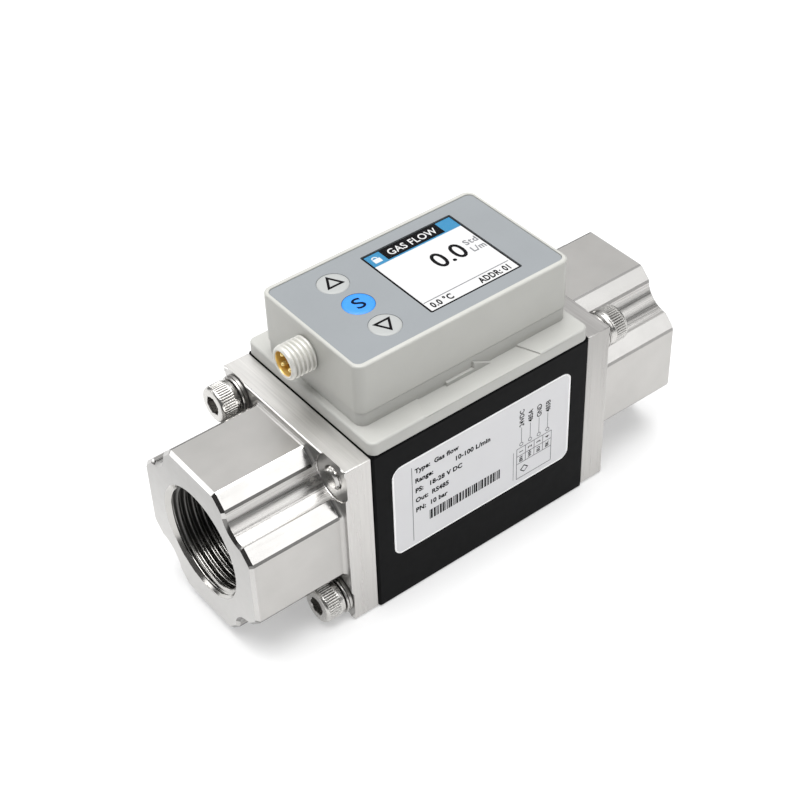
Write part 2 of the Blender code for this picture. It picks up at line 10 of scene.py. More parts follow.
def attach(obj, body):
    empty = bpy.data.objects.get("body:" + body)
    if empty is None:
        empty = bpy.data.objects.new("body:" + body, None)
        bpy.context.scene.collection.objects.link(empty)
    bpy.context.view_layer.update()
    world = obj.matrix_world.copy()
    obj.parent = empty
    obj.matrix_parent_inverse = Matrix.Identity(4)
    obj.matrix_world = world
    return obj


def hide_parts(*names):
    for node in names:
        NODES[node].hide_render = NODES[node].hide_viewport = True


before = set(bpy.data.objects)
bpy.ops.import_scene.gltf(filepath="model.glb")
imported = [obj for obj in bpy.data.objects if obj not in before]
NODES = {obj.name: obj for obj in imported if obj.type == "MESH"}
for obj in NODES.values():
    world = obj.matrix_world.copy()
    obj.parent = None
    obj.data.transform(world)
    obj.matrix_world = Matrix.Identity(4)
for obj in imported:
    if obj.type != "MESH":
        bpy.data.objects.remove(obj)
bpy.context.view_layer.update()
MM = 0.001
TAU = 2 * math.pi
COLL = bpy.context.scene.collection

# ------------------------------------------------------------ dimensions, mm
AXIS_Z = 22.4
FLANGE_W, FLANGE_BACK, FLANGE_FRONT = 44.0, 29.95, 36.6
PORT_END, PORT_P, PORT_T = 59.6, 20.28, 8.43
THREAD_MINOR, THREAD_MAJOR, THREAD_PITCH = 12.06, 13.20, 1.814
SLEEVE_R, SLEEVE_X = 13.56, 43.0
BOLT_PITCH, SPOT_R, SPOT_X = 17.2, 5.7, 36.2
HEAD_R, HEAD_X0, HEAD_X1, BOLT_TIP = 4.25, 37.95, 42.95, -37.05
SCREEN_C = (6.72, 0.22)
BUTTON_X, BUTTON_Y = -15.3, (8.97, 0.05, -8.95)
CONN_Y, CONN_Z = 0.55, 57.6
PIN_AT = ((-1.28, 1.28), (1.28, 1.28), (1.28, -1.28), (-1.28, -1.28))


# ------------------------------------------------------------------- helpers
def new_object(name, mesh):
    obj = bpy.data.objects.new(name, mesh)
    COLL.objects.link(obj)
    return obj


def from_data(name, verts, faces, mats=(), angle=32):
    """Object from points in millimetres."""
    mesh = bpy.data.meshes.new(name)
    mesh.from_pydata([tuple(float(c) * MM for c in v) for v in verts], [], faces)
    for m in mats:
        mesh.materials.append(m)
    mesh.validate()
    obj = new_object(name, mesh)
    tidy(obj, angle)
    return obj


def tidy(obj, angle=32):
    bm = bmesh.new()
    bm.from_mesh(obj.data)
    bmesh.ops.remove_doubles(bm, verts=bm.verts, dist=2e-7)
    bmesh.ops.dissolve_degenerate(bm, edges=bm.edges, dist=1e-7)
    bmesh.ops.recalc_face_normals(bm, faces=bm.faces)
    bm.to_mesh(obj.data)
    bm.free()
    obj.data.shade_smooth()
    obj.data.set_sharp_from_angle(angle=math.radians(angle))
    return obj


def bake(obj, angle=32):
    """Apply every modifier of the object."""
    graph = bpy.context.evaluated_depsgraph_get()
    done = bpy.data.meshes.new_from_object(obj.evaluated_get(graph), depsgraph=graph)
    old = obj.data
    obj.modifiers.clear()
    obj.data = done
    if old.users == 0:
        bpy.data.meshes.remove(old)
    tidy(obj, angle)
    return obj


def boolean(obj, tools, operation="DIFFERENCE", angle=32):
    for tool in tools:
        mod = obj.modifiers.new("b", "BOOLEAN")
        mod.operation, mod.solver, mod.object = operation, "EXACT", tool
        mod.material_mode = "TRANSFER" if obj.data.materials and tool.data.materials else "INDEX"
    bpy.context.view_layer.update()
    bake(obj, angle)
    for tool in tools:
        data = tool.data
        bpy.data.objects.remove(tool, do_unlink=True)
        if data.users == 0:
            bpy.data.meshes.remove(data)
    return obj


def soften(obj, width, segments=2, limit=30, angle=32):
    """Round the sharp edges of a finished shape."""
    mod = obj.modifiers.new("r", "BEVEL")
    mod.width, mod.segments, mod.limit_method = width * MM, segments, "ANGLE"
    mod.angle_limit, mod.use_clamp_overlap = math.radians(limit), True
    mod.harden_normals = False
    mod.miter_outer = "MITER_ARC"
    bpy.context.view_layer.update()
    return bake(obj, angle)


def rings_to_faces(count, n, closed=True, caps=(True, True)):
    faces = []
    for j in range(count - 1):
        for i in range(n if closed else n - 1):
            k = (i + 1) % n
            faces.append((j * n + i, j * n + k, (j + 1) * n + k, (j + 1) * n + i))
    if caps[0]:
        faces.append(tuple(reversed(range(n))))
    if caps[1]:
        faces.append(tuple((count - 1) * n + i for i in range(n)))
    return faces


def loft(name, rings, mats=(), angle=32, caps=(True, True)):
    n = len(rings[0])
    verts = [p for ring in rings for p in ring]
    return from_data(name, verts, rings_to_faces(len(rings), n, True, caps), mats, angle)


def turned(name, profile, n, axis="X", mats=(), angle=32, at=(0, 0, 0), phase=0.0, wave=None):
    """Surface of revolution of (along, radius) points; wave(a, r, theta) may vary the radius."""
    place = {"X": lambda a, y, z: (a, y, z), "Z": lambda a, y, z: (y, z, a),
             "Y": lambda a, y, z: (z, a, y)}[axis]
    verts, faces, rows = [], [], []
    for a, r in profile:
        if r <= 1e-9:
            rows.append([len(verts)])
            verts.append(tuple(np.add(place(a, 0, 0), at)))
        else:
            row = []
            for i in range(n):
                t = phase + TAU * i / n
                aa, rr = (a, r) if wave is None else wave(a, r, t)
                row.append(len(verts))
                verts.append(tuple(np.add(place(aa, rr * math.cos(t), rr * math.sin(t)), at)))
            rows.append(row)
    pairs = list(zip(rows, rows[1:]))
    if len(rows[0]) > 1 and len(rows[-1]) > 1:
        pairs.append((rows[-1], rows[0]))
    for one, two in pairs:
        for i in range(n):
            k = (i + 1) % n
            if len(one) == 1 and len(two) == 1:
                continue
            if len(one) == 1:
                faces.append((one[0], two[k], two[i]))
            elif len(two) == 1:
                faces.append((one[i], one[k], two[0]))
            else:
                faces.append((one[i], one[k], two[k], two[i]))
    return from_data(name, verts, faces, mats, angle)


def outline(hx, hy, r, n=8):
    r = max(r, 0.02)
    pts = []
    for cx, cy, a0 in ((hx - r, hy - r, 0), (r - hx, hy - r, 90),
                       (r - hx, r - hy, 180), (hx - r, r - hy, 270)):
        for k in range(n + 1):
            a = math.radians(a0 + 90 * k / n)
            pts.append((cx + r * math.cos(a), cy + r * math.sin(a)))
    return pts


def slab(name, hx, hy, r, levels, mats=(), at=(0, 0), plane="XY", n=8, angle=32):
    """Rounded slab; levels are (height, inset) pairs, inset shrinks the outline."""
    rings = []
    for w, d in levels:
        ring = []
        for u, v in outline(hx - d, hy - d, r - d, n):
            u, v = u + at[0], v + at[1]
            ring.append({"XY": (u, v, w), "XZ": (u, w, v), "YZ": (w, u, v)}[plane])
        rings.append(ring)
    return loft(name, rings, mats, angle)


def poly(name, pts, lo, hi, plane="XY", mats=(), angle=32):
    rings = [[{"XY": (u, v, w), "XZ": (u, w, v), "YZ": (w, u, v)}[plane] for u, v in pts]
             for w in (lo, hi)]
    return loft(name, rings, mats, angle)


def arc(c, r, a0, a1, n):
    """Points of an arc, angles in degrees."""
    return [(c[0] + r * math.cos(math.radians(a0 + (a1 - a0) * k / n)),
             c[1] + r * math.sin(math.radians(a0 + (a1 - a0) * k / n))) for k in range(n + 1)]


def weigh(obj):
    """Flat faces keep flat shading beside their rounded edges."""
    obj.modifiers.new("w", "WEIGHTED_NORMAL").keep_sharp = True
    graph = bpy.context.evaluated_depsgraph_get()
    done = bpy.data.meshes.new_from_object(obj.evaluated_get(graph), depsgraph=graph)
    old = obj.data
    obj.modifiers.clear()
    obj.data = done
    if old.users == 0:
        bpy.data.meshes.remove(old)
    return obj


def place(obj, body="root", nodes=(), slot=None):
    if nodes:
        weigh(obj)
    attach(obj, body)
    if nodes:
        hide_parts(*nodes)
    return obj


def paint(obj, choose):
    """Give each face the material slot that choose(centre in mm, normal) returns."""
    for p in obj.data.polygons:
        p.material_index = choose(p.center / MM, p.normal)
    return obj


# ----------------------------------------------------------------- materials
def srgb(r, g, b):
    return tuple((c / 255 / 12.92) if c / 255 <= 0.04045 else ((c / 255 + 0.055) / 1.055) ** 2.4
                 for c in (r, g, b))


class Mat:
    """A Principled material with procedural colour, roughness and bump."""

    def __init__(self, name, color, rough, metal=0.0, **extra):
        self.m = bpy.data.materials.new(name)
        self.m.use_nodes = True
        self.t = self.m.node_tree
        self.b = self.t.nodes["Principled BSDF"]
        self.color, self.rough = color, rough
        self.b.inputs["Base Color"].default_value = (*color, 1)
        self.b.inputs["Roughness"].default_value = rough
        self.b.inputs["Metallic"].default_value = metal
        for key, value in extra.items():
            self.b.inputs[key.replace("_", " ")].default_value = value
        self.coord = self.t.nodes.new("ShaderNodeTexCoord")
        self.normal = None

    def noise(self, scale, detail=3.0, rough=0.6, size=1.0, distort=0.0):
        m = self.t.nodes.new("ShaderNodeMapping")
        s = scale if isinstance(scale, tuple) else (scale,) * 3
        m.inputs["Scale"].default_value = s
        self.t.links.new(self.coord.outputs["Object"], m.inputs["Vector"])
        n = self.t.nodes.new("ShaderNodeTexNoise")
        n.inputs["Scale"].default_value = size
        n.inputs["Detail"].default_value = detail
        n.inputs["Roughness"].default_value = rough
        n.inputs["Distortion"].default_value = distort
        self.t.links.new(m.outputs["Vector"], n.inputs["Vector"])
        return n.outputs["Fac"]

    def remap(self, fac, lo, hi, flo=0.3, fhi=0.7):
        r = self.t.nodes.new("ShaderNodeMapRange")
        r.inputs["From Min"].default_value, r.inputs["From Max"].default_value = flo, fhi
        r.inputs["To Min"].default_value, r.inputs["To Max"].default_value = lo, hi
        self.t.links.new(fac, r.inputs["Value"])
        return r.outputs["Result"]

    def vary_color(self, fac, darker, lighter):
        """Colour swings between two multiples of the base colour."""
        ramp = self.t.nodes.new("ShaderNodeValToRGB")
        e = ramp.color_ramp.elements
        e[0].position, e[1].position = 0.3, 0.7
        e[0].color = (*[min(1, c * darker) for c in self.color], 1)
        e[1].color = (*[min(1, c * lighter) for c in self.color], 1)
        self.t.links.new(fac, ramp.inputs["Fac"])
        self.t.links.new(ramp.outputs["Color"], self.b.inputs["Base Color"])
        return self

    def vary_rough(self, fac, lo, hi):
        self.t.links.new(self.remap(fac, lo, hi), self.b.inputs["Roughness"])
        return self

    def bump(self, fac, distance, strength=1.0):
        n = self.t.nodes.new("ShaderNodeBump")
        n.inputs["Distance"].default_value = distance
        n.inputs["Strength"].default_value = strength
        self.t.links.new(fac, n.inputs["Height"])
        if self.normal is not None:
            self.t.links.new(self.normal, n.inputs["Normal"])
        self.normal = n.outputs["Normal"]
        self.t.links.new(self.normal, self.b.inputs["Normal"])
        return self


def steel(name, color, rough, streak, tone=0.06, depth=6e-6, spread=0.07):
    """Machined steel; streak gives how fine the tool marks are along X, Y and Z."""
    m = Mat(name, color, rough, 1.0)
    marks = m.noise(streak, 3, 0.55)
    cloud = m.noise(140.0, 3, 0.5)
    m.vary_color(cloud, 1 - tone, 1 + tone)
    m.vary_rough(marks, rough - spread, rough + spread)
    m.bump(marks, depth)
    return m.m


def brushed(name, color, rough, streak, tone=0.08, depth=1.2e-6, spread=0.05):
    """Steel with visible parallel lines."""
    m = Mat(name, color, rough, 1.0)
    marks = m.noise(streak, 3, 0.6)
    m.vary_color(marks, 1 - tone, 1 + tone)
    m.vary_rough(marks, rough - spread, rough + spread)
    m.bump(marks, depth)
    return m.m


def plastic(name, color, rough, grain=2600.0, depth=6e-6, tone=0.03, **extra):
    m = Mat(name, color, rough, 0.0, **extra)
    m.vary_color(m.noise(90.0, 3, 0.5), 1 - tone, 1 + tone)
    m.vary_rough(m.noise(400.0, 3, 0.6), rough - 0.04, rough + 0.05)
    m.bump(m.noise(grain, 2, 0.5), depth)
    return m.m


STEEL_C = (0.475, 0.465, 0.45)


def thread_steel():
    """Thread steel with painted shade: darker over the bore, lighter and glossier at its mouth and
    along its lower wall.
    """
    m = Mat("stainless_thread", (0.50, 0.49, 0.47), 0.19, 1.0)
    split = m.t.nodes.new("ShaderNodeSeparateXYZ")
    m.t.links.new(m.coord.outputs["Object"], split.inputs["Vector"])
    side = m.remap(split.outputs["Z"], 1.0, 0.0, -0.0100, -0.0088)
    mouth = m.remap(split.outputs["X"], 0.0, 1.0, 0.0578, 0.0582)
    unshaded_and_glossy = m.t.nodes.new("ShaderNodeMath")
    unshaded_and_glossy.operation = "MAXIMUM"
    m.t.links.new(side, unshaded_and_glossy.inputs[0])
    m.t.links.new(mouth, unshaded_and_glossy.inputs[1])
    # painted shade: away from the mouth and the lower wall the colour falls to 0.26 of the base
    m.vary_color(m.remap(unshaded_and_glossy.outputs[0], 0.3, 0.7, 0.0, 1.0), 0.26, 1.0)
    marks = m.noise(400.0, 3, 0.55)
    m.t.links.new(m.remap(unshaded_and_glossy.outputs[0], 0.42, 0.17, 0.0, 1.0), m.b.inputs["Roughness"])
    m.bump(marks, 0.6e-6)
    return m.m


def face_steel():
    """Faced end of a port, with painted shade: darker towards its top."""
    m = Mat("stainless_port_face", (0.54, 0.533, 0.522), 0.38, 1.0)
    split = m.t.nodes.new("ShaderNodeSeparateXYZ")
    m.t.links.new(m.coord.outputs["Object"], split.inputs["Vector"])
    # painted shade: colour falls to 0.72 of the base towards the top of the face
    m.vary_color(m.remap(split.outputs["Z"], 0.3, 0.7, 0.017, -0.016), 0.72, 1.08)
    marks = m.noise(500.0, 3, 0.55)
    m.vary_rough(marks, 0.35, 0.41)
    m.bump(marks, 0.6e-6)
    return m.m


def side_steel():
    """Brushed side of the outlet flange, with painted shade: darker towards its top."""
    m = Mat("stainless_flange_side", (0.54, 0.528, 0.512), 0.29, 1.0)
    split = m.t.nodes.new("ShaderNodeSeparateXYZ")
    m.t.links.new(m.coord.outputs["Object"], split.inputs["Vector"])
    marks = m.noise((1500, 60, 60), 3, 0.6)
    add = m.t.nodes.new("ShaderNodeMath")
    add.operation = "ADD"
    m.t.links.new(m.remap(split.outputs["Z"], 0.64, 0.24, -0.020, 0.020), add.inputs[0])
    m.t.links.new(m.remap(marks, 0.0, 0.12), add.inputs[1])
    # painted shade: darker towards the top of the flange side, with brush marks added on top
    m.vary_color(add.outputs[0], 0.68, 1.0)
    m.vary_rough(marks, 0.26, 0.32)
    m.bump(marks, 0.8e-6)
    return m.m


def channel_steel():
    """Cutter marks running along the channel."""
    m = Mat("stainless_channel", (0.54, 0.53, 0.515), 0.23, 1.0)
    broad, fine = m.noise((18, 800, 800), 2, 0.5), m.noise((30, 2400, 2400), 2, 0.5)
    m.vary_color(fine, 0.70, 1.10)
    m.vary_rough(fine, 0.20, 0.34)
    m.bump(broad, 9e-6)
    m.bump(fine, 5e-6)
    return m.m


M = {
    "steel_x": steel("stainless_milled_along", STEEL_C, 0.34, (40, 500, 500), 0.035, 0.3e-6,
                     0.012),
    "steel_y": brushed("stainless_milled_across", (0.54, 0.528, 0.512), 0.29, (1500, 60, 60), 0.05,
                       0.8e-6, 0.03),
    # steel_top and steel_brush are a darker and a lighter copy of one brushed steel for the two flange
    # tops: painted light
    "steel_top": brushed("stainless_edge", (0.42, 0.41, 0.40), 0.34, (2400, 70, 70), 0.10, 1.4e-6),
    "steel_brush": brushed("stainless_brushed", (0.70, 0.688, 0.668), 0.40, (2600, 70, 70), 0.07,
                           1.0e-6, 0.03),
    "steel_end": steel("stainless_faced", (0.54, 0.533, 0.522), 0.38, (500, 500, 500), 0.04,
                       0.6e-6, 0.03),
    "steel_polish": steel("stainless_bright", (0.52, 0.512, 0.50), 0.16, (60, 900, 900), 0.05,
                          0.8e-6, 0.04),
    # painted shade: dark steel for edge chamfers, standing in for the dark reflections seen along them
    "steel_shade": steel("stainless_edge_painted_shade", (0.20, 0.196, 0.19), 0.20, (60, 900, 900), 0.05,
                         0.8e-6, 0.04),
    "bolt": steel("bolt_bright", (0.56, 0.55, 0.53), 0.27, (500, 700, 700), 0.05, 0.8e-6, 0.04),
    "washer": steel("washer_bright", (0.50, 0.49, 0.475), 0.30, (500, 700, 700), 0.06, 1.5e-6,
                    0.05),
    # painted shade for the hex socket and the knurl grooves
    "bolt_shade": steel("bolt_painted_shade", (0.40, 0.39, 0.38), 0.30, (900, 900, 900), 0.06, 2e-6, 0.05),
    "screw": steel("screw_steel", (0.50, 0.50, 0.50), 0.32, (900, 900, 900)),
    "black": plastic("black_anodised", (0.0026, 0.0028, 0.0032), 0.42, 3200.0, 5e-6, 0.10,
                     Specular_IOR_Level=0.05),
    "gasket": plastic("seal_rubber", (0.011, 0.011, 0.011), 0.62, 2000.0, 8e-6, 0.10),
    "base": plastic("base_plastic", srgb(181, 181, 177), 0.42, 2800.0, 4e-6),
    "housing": plastic("housing_plastic", srgb(181, 181, 176), 0.38, 2800.0, 3e-6),
    "panel": plastic("panel_film", srgb(131, 135, 138), 0.50, 3400.0, 3e-6, 0.02),
    "key": plastic("key_light", srgb(161, 163, 162), 0.42, 2600.0, 3e-6, 0.02),
    "key_blue": plastic("key_blue", srgb(45, 134, 219), 0.40, 2600.0, 3e-6, 0.02),
    "ink": plastic("ink_black", (0.0035, 0.0035, 0.004), 0.5, 3000.0, 2e-6, 0.05,
                   Specular_IOR_Level=0.05),
    "ink_navy": plastic("ink_navy", (0.003, 0.006, 0.02), 0.5, 3000.0, 2e-6, 0.05,
                        Specular_IOR_Level=0.05),
    "conn": Mat("connector_nickel", (0.655, 0.648, 0.612), 0.36, 0.30),
    "gold": plastic("gold_contact", (1.0, 0.80, 0.36), 0.24, 900.0, 2e-6, 0.05, Metallic=0.55),
    "gold_wall": plastic("gold_wall", (0.95, 0.70, 0.25), 0.32, 900.0, 2e-6, 0.05,
                         Metallic=0.55),
    "amber": plastic("connector_amber", srgb(150, 108, 36), 0.38, 2000.0, 4e-6, 0.10),
    "label": plastic("label_film", srgb(218, 218, 220), 0.42, 3000.0, 2e-6, 0.015),
    "label_rim": plastic("label_rim", srgb(253, 253, 253), 0.40, 3000.0, 2e-6, 0.01),
    "label_ink": plastic("label_ink", (0.006, 0.006, 0.007), 0.50, 3000.0, 2e-6, 0.04,
                         Specular_IOR_Level=0.05),
    "label_line": plastic("label_line", srgb(112, 112, 116), 0.50, 3000.0, 2e-6, 0.04,
                          Specular_IOR_Level=0.1),
    "board": plastic("circuit_board", (0.02, 0.12, 0.05), 0.40, 900.0, 8e-6, 0.20),
    "dark": plastic("dark_plastic", (0.045, 0.045, 0.05), 0.48, 2200.0, 6e-6, 0.08),
    "ceramic": plastic("sensor_ceramic", (0.72, 0.71, 0.67), 0.36, 1800.0, 4e-6, 0.04),
    "flex": plastic("flex_lead", (0.50, 0.27, 0.05), 0.40, 1500.0, 4e-6, 0.08),
}
CONN = M["conn"]
CONN.vary_color(CONN.noise(200.0, 3, 0.5), 0.97, 1.03)
CONN.vary_rough(CONN.noise(900.0, 3, 0.5), 0.32, 0.42)
CONN.bump(CONN.noise(900.0, 2, 0.5), 1.5e-6)
M["conn"] = CONN.m
M["steel_channel"] = channel_steel()
M["steel_thread"] = thread_steel()
M["steel_face"] = face_steel()
M["steel_side"] = side_steel()
M["window"] = Mat("window_clear", (0.03, 0.03, 0.035), 0.10, 0.0, Alpha=0.03,
                  Specular_IOR_Level=0.2).m


def lit(name, color, power, rough=0.35):
    """Part of the lit picture on the screen."""
    m = Mat(name, color, rough)
    m.b.inputs["Emission Color"].default_value = (*color, 1)
    m.b.inputs["Emission Strength"].default_value = power
    m.vary_rough(m.noise(600.0, 2, 0.5), rough - 0.03, rough + 0.03)
    return m.m


M["lcd_white"] = lit("screen_white", srgb(200, 200, 200), 0.20)
M["lcd_black"] = plastic("screen_black", (0.003, 0.003, 0.0035), 0.45, 3000.0, 1e-6, 0.05,
                         Specular_IOR_Level=0.05)
M["lcd_blue"] = lit("screen_blue", srgb(37, 119, 161), 0.12)
M["lcd_grey"] = plastic("screen_grey", srgb(120, 121, 124), 0.35, 3000.0, 1e-6, 0.03,
                        Specular_IOR_Level=0.1)
M["lcd_frame"] = plastic("screen_frame", (0.004, 0.004, 0.0045), 0.45, 3000.0, 1e-6, 0.05,
                         Specular_IOR_Level=0.05)

CAD_LOOK = {
    "flow_body": "black", "body_gasket": "gasket", "inlet_seal": "gasket", "outlet_seal": "gasket",
    "sensor_seal": "gasket", "connector_gasket": "gasket", "inlet_flow_grid": "screw",
    "outlet_flow_grid": "screw", "sensor_carrier": "dark", "sensor_element": "ceramic",
    "sensor_header": "dark", "carrier_screw_inlet": "screw", "carrier_screw_outlet": "screw",
    "base_screw_1": "screw", "base_screw_2": "screw", "base_screw_3": "screw",
    "base_screw_4": "screw", "display_holder": "dark", "control_board": "board",
    "switch_up": "dark", "switch_select": "dark", "switch_down": "dark",
    "connector_retainer": "screw", "connector_flex": "flex", "display_module": "dark",
}
for node, look in CAD_LOOK.items():
    obj = NODES[node]
    if obj.material_slots:
        obj.material_slots[0].material = M[look]
    else:
        obj.data.materials.append(M[look])


# ---------------------------------------------------------------- end blocks
def octagon(d):
    """Port section grown by d, each corner cut a little, anticlockwise in Y and Z."""
    p = PORT_P + d
    t = PORT_T * p / PORT_P
    corners = [(p, -t), (p, t), (t, p), (-t, p), (-p, t), (-p, -t), (-t, -p), (t, -p)]
    pts = []
    for i, v in enumerate(corners):
        for w in (corners[i - 1], corners[(i + 1) % 8]):
            dv = Vector((w[0] - v[0], w[1] - v[1]))
            dv.normalize()
            c = 0.42 if abs(v[0]) > abs(v[1]) else 0.32
            pts.append((v[0] + dv.x * c, v[1] + dv.y * c))
    return pts


def end_block():
    h = FLANGE_W / 2
    flange = slab("outlet_end_block_v", h, h, 0.30, [
        (FLANGE_BACK, 0.12), (FLANGE_BACK + 0.12, 0), (FLANGE_FRONT - 0.36, 0),
        (FLANGE_FRONT - 0.28, 0.03), (FLANGE_FRONT - 0.03, 0.28), (FLANGE_FRONT, 0.36)],
        plane="YZ", n=3)
    rings = [[(FLANGE_FRONT - 1.0, y, z) for y, z in octagon(1.0)]]
    for k in range(7):
        a = math.radians(90 * k / 6)
        rings.append([(FLANGE_FRONT + 1.0 - math.cos(a), y, z)
                      for y, z in octagon(1.0 - math.sin(a))])
    rings += [[(x, y, z) for y, z in octagon(d)]
              for x, d in ((PORT_END - 0.75, 0), (PORT_END, -0.75))]
    port = loft("tool_port", rings)
    boolean(flange, [port], "UNION")
    cutters = []
    for sy, sz in ((1, 1), (-1, 1), (-1, -1), (1, -1)):
        cutters.append(turned("tool_channel", [
            (SPOT_X, 0), (SPOT_X, SPOT_R - 0.25), (SPOT_X + 0.07, SPOT_R - 0.07),
            (SPOT_X + 0.25, SPOT_R), (PORT_END - 0.7, SPOT_R), (PORT_END, SPOT_R + 0.7),
            (PORT_END + 2, SPOT_R + 2.7), (PORT_END + 2, 0)], 96,
            at=(0, sy * BOLT_PITCH, sz * BOLT_PITCH), phase=0.011))
    boolean(flange, cutters)
    edge = BOLT_PITCH - SPOT_R
    boolean(flange, [poly("tool_edge", [
        (sy * (edge - 0.30), sz * (BOLT_PITCH + 0.30)), (sy * edge, sz * (BOLT_PITCH - 0.42)),
        (sy * (edge + 1.0), sz * (BOLT_PITCH + 0.60))], 37.4, PORT_END + 1, "YZ")
        for sy in (-1, 1) for sz in (-1, 1)], angle=21)
    soften(flange, 0.12, 2, 24, 21)
    holes = []
    for sy, sz in ((1, 1), (-1, 1), (-1, -1), (1, -1)):
        threaded = sy * sz > 0
        r = 2.62 if threaded else 2.8
        holes.append(turned("tool_hole", [
            (FLANGE_BACK - 1, 0), (FLANGE_BACK - 1, r), (SPOT_X - 0.3, r),
            (SPOT_X + 0.05, r + 0.35), (SPOT_X + 1, r + 0.35), (SPOT_X + 1, 0)], 48,
            at=(0, sy * BOLT_PITCH, sz * BOLT_PITCH), phase=0.02))
    boolean(flange, holes, angle=21)
    bore = turned("tool_bore", [
        (FLANGE_BACK - 1, 0), (FLANGE_BACK - 1, 10.9), (31.95, 10.9), (31.95, 9.5), (41.9, 9.5),
        (42.2, 9.8), (42.2, SLEEVE_R + 0.02), (PORT_END + 1, SLEEVE_R + 0.02),
        (PORT_END + 1, 0)], 160, phase=0.013)
    boolean(flange, [bore], angle=21)
    mats = ["steel_x", "steel_y", "steel_end", "steel_polish", "steel_thread", "steel_channel",
            "steel_top", "steel_shade", "steel_face"]
    flange.data.materials.clear()
    for m in mats:
        flange.data.materials.append(M[m])

    def choose(c, n):
        rad = math.hypot(c.y, c.z)
        spot = min(math.hypot(c.y - a, c.z - b) for a in (-BOLT_PITCH, BOLT_PITCH)
                   for b in (-BOLT_PITCH, BOLT_PITCH))
        if c.x > PORT_END - 0.02 and n.x > 0.98:
            return 8
        if rad < 14.6 and (abs(n.x) < 0.93 or rad < 12.9):
            return 4
        if c.x > PORT_END - 0.8 and n.x > 0.9:
            return 2
        if c.x > SPOT_X and spot < SPOT_R + 0.05 and abs(n.x) < 0.5:
            return 5
        # corner chamfers along the port: the ±Y ones take steel with painted shade, the ±Z ones
        # polished steel
        if c.x > FLANGE_FRONT + 0.8 and abs(n.x) < 0.2 and 0.3 < min(abs(n.y), abs(n.z)) < 0.5:
            return 7 if abs(n.y) > abs(n.z) else 3
        if FLANGE_FRONT - 0.4 < c.x < FLANGE_FRONT + 0.01 and 0.3 < abs(n.x) < 0.97:
            return 3
        if c.x > PORT_END - 0.8 and 0.3 < abs(n.x) < 0.97 and rad > 15:
            if min(abs(n.y), abs(n.z)) < 0.2:
                return 3
            # painted shade on the end chamfers of the +Y half
            return 7 if c.y > 0 else 2
        if c.x < FLANGE_FRONT - 0.02 and abs(n.x) < 0.75:
            return 6 if n.z > 0.6 else 1
        if abs(n.x) > 0.8 and c.x < FLANGE_FRONT + 0.5:
            return 2
        if abs(abs(n.y) - abs(n.z)) < 0.25 and abs(n.x) < 0.5 and rad < 25:
            return 3
        return 0

    paint(flange, choose)
    flange.location = (0, 0, AXIS_Z * MM)
    return flange


def thread_wall():
    """Wall of the port with its internal thread; rows of points follow the helix."""
    n, x0, x1 = 168, SLEEVE_X, PORT_END
    steps = (0.0, 0.05, 0.10, 0.18, 0.27, 0.36, 0.42, 0.47, 0.53, 0.58, 0.64, 0.73, 0.82, 0.90,
             0.95)
    m = len(steps)
    turns = int((x1 - x0) / THREAD_PITCH) + 3

    def radius(x, u):
        tri = 1 - abs(2 * u - 1)
        s = min(1.0, max(0.0, (tri - 0.13) / 0.74))
        s = 0.45 * s + 0.55 * (0.5 - 0.5 * math.cos(math.pi * s))
        fade = min(1.0, max(0.0, (x - x0 - 0.9) / 1.4))
        r = THREAD_MINOR + (THREAD_MAJOR - THREAD_MINOR) * s * fade + 0.9 * (1 - min(
            1.0, max(0.0, (x - x0) / 1.1)))
        return max(r, 13.48 - (x1 - x) * 1.02)

    verts, faces = [], []
    rows = turns * m
    for i in range(n):
        t = TAU * i / n
        for j in range(rows + 1):
            x = x0 + THREAD_PITCH * (j // m - 1.5 + steps[j % m] + i / n)
            x = min(x1, max(x0, x))
            u = (x / THREAD_PITCH - i / n) % 1.0
            r = radius(x, u)
            verts.append((x, r * math.cos(t), r * math.sin(t)))
    w = rows + 1
    for i in range(n):
        for j in range(rows):
            if i < n - 1:
                faces.append((i * w + j, i * w + j + 1, (i + 1) * w + j + 1, (i + 1) * w + j))
            elif j + m < rows:
                faces.append((i * w + j, i * w + j + 1, j + 1 + m, j + m))
    base = len(verts)
    for x in (x0, x1):
        for i in range(n):
            t = TAU * i / n
            verts.append((x, SLEEVE_R * math.cos(t), SLEEVE_R * math.sin(t)))
    for i in range(n):
        k = (i + 1) % n
        faces.append((base + i, base + k, base + n + k, base + n + i))
        faces.append((base + i, base + k, k * w, i * w))
        faces.append((base + n + i, base + n + k, k * w + rows, i * w + rows))
    obj = from_data("outlet_port_thread", verts, faces, [M["steel_thread"]], 50)
    obj.location = (0, 0, AXIS_Z * MM)
    return obj


outlet_block = end_block()
outlet_thread = thread_wall()
# painted light by copy: the inlet keeps a lighter brushed flange top, the outlet gets a darker flange
# top and chamfers and flanks with painted shade towards the top
for part, nodes, twin in ((outlet_block, ["end_block"], "inlet_end_block_v"),
                          (outlet_thread, [], "inlet_port_thread")):
    other = new_object(twin, part.data.copy())
    other.location = part.location
    for slot in other.material_slots:
        if slot.material == M["steel_top"]:
            slot.material = M["steel_brush"]
    for slot in part.material_slots:
        if slot.material == M["steel_y"]:
            slot.material = M["steel_side"]
        elif slot.material == M["steel_shade"]:
            slot.material = M["steel_top"]
    other.rotation_euler = (0, 0, math.pi)
    place(part, nodes=["outlet_" + v for v in nodes], slot="stainless_steel")
    place(other, nodes=["inlet_" + v for v in nodes], slot="stainless_steel")


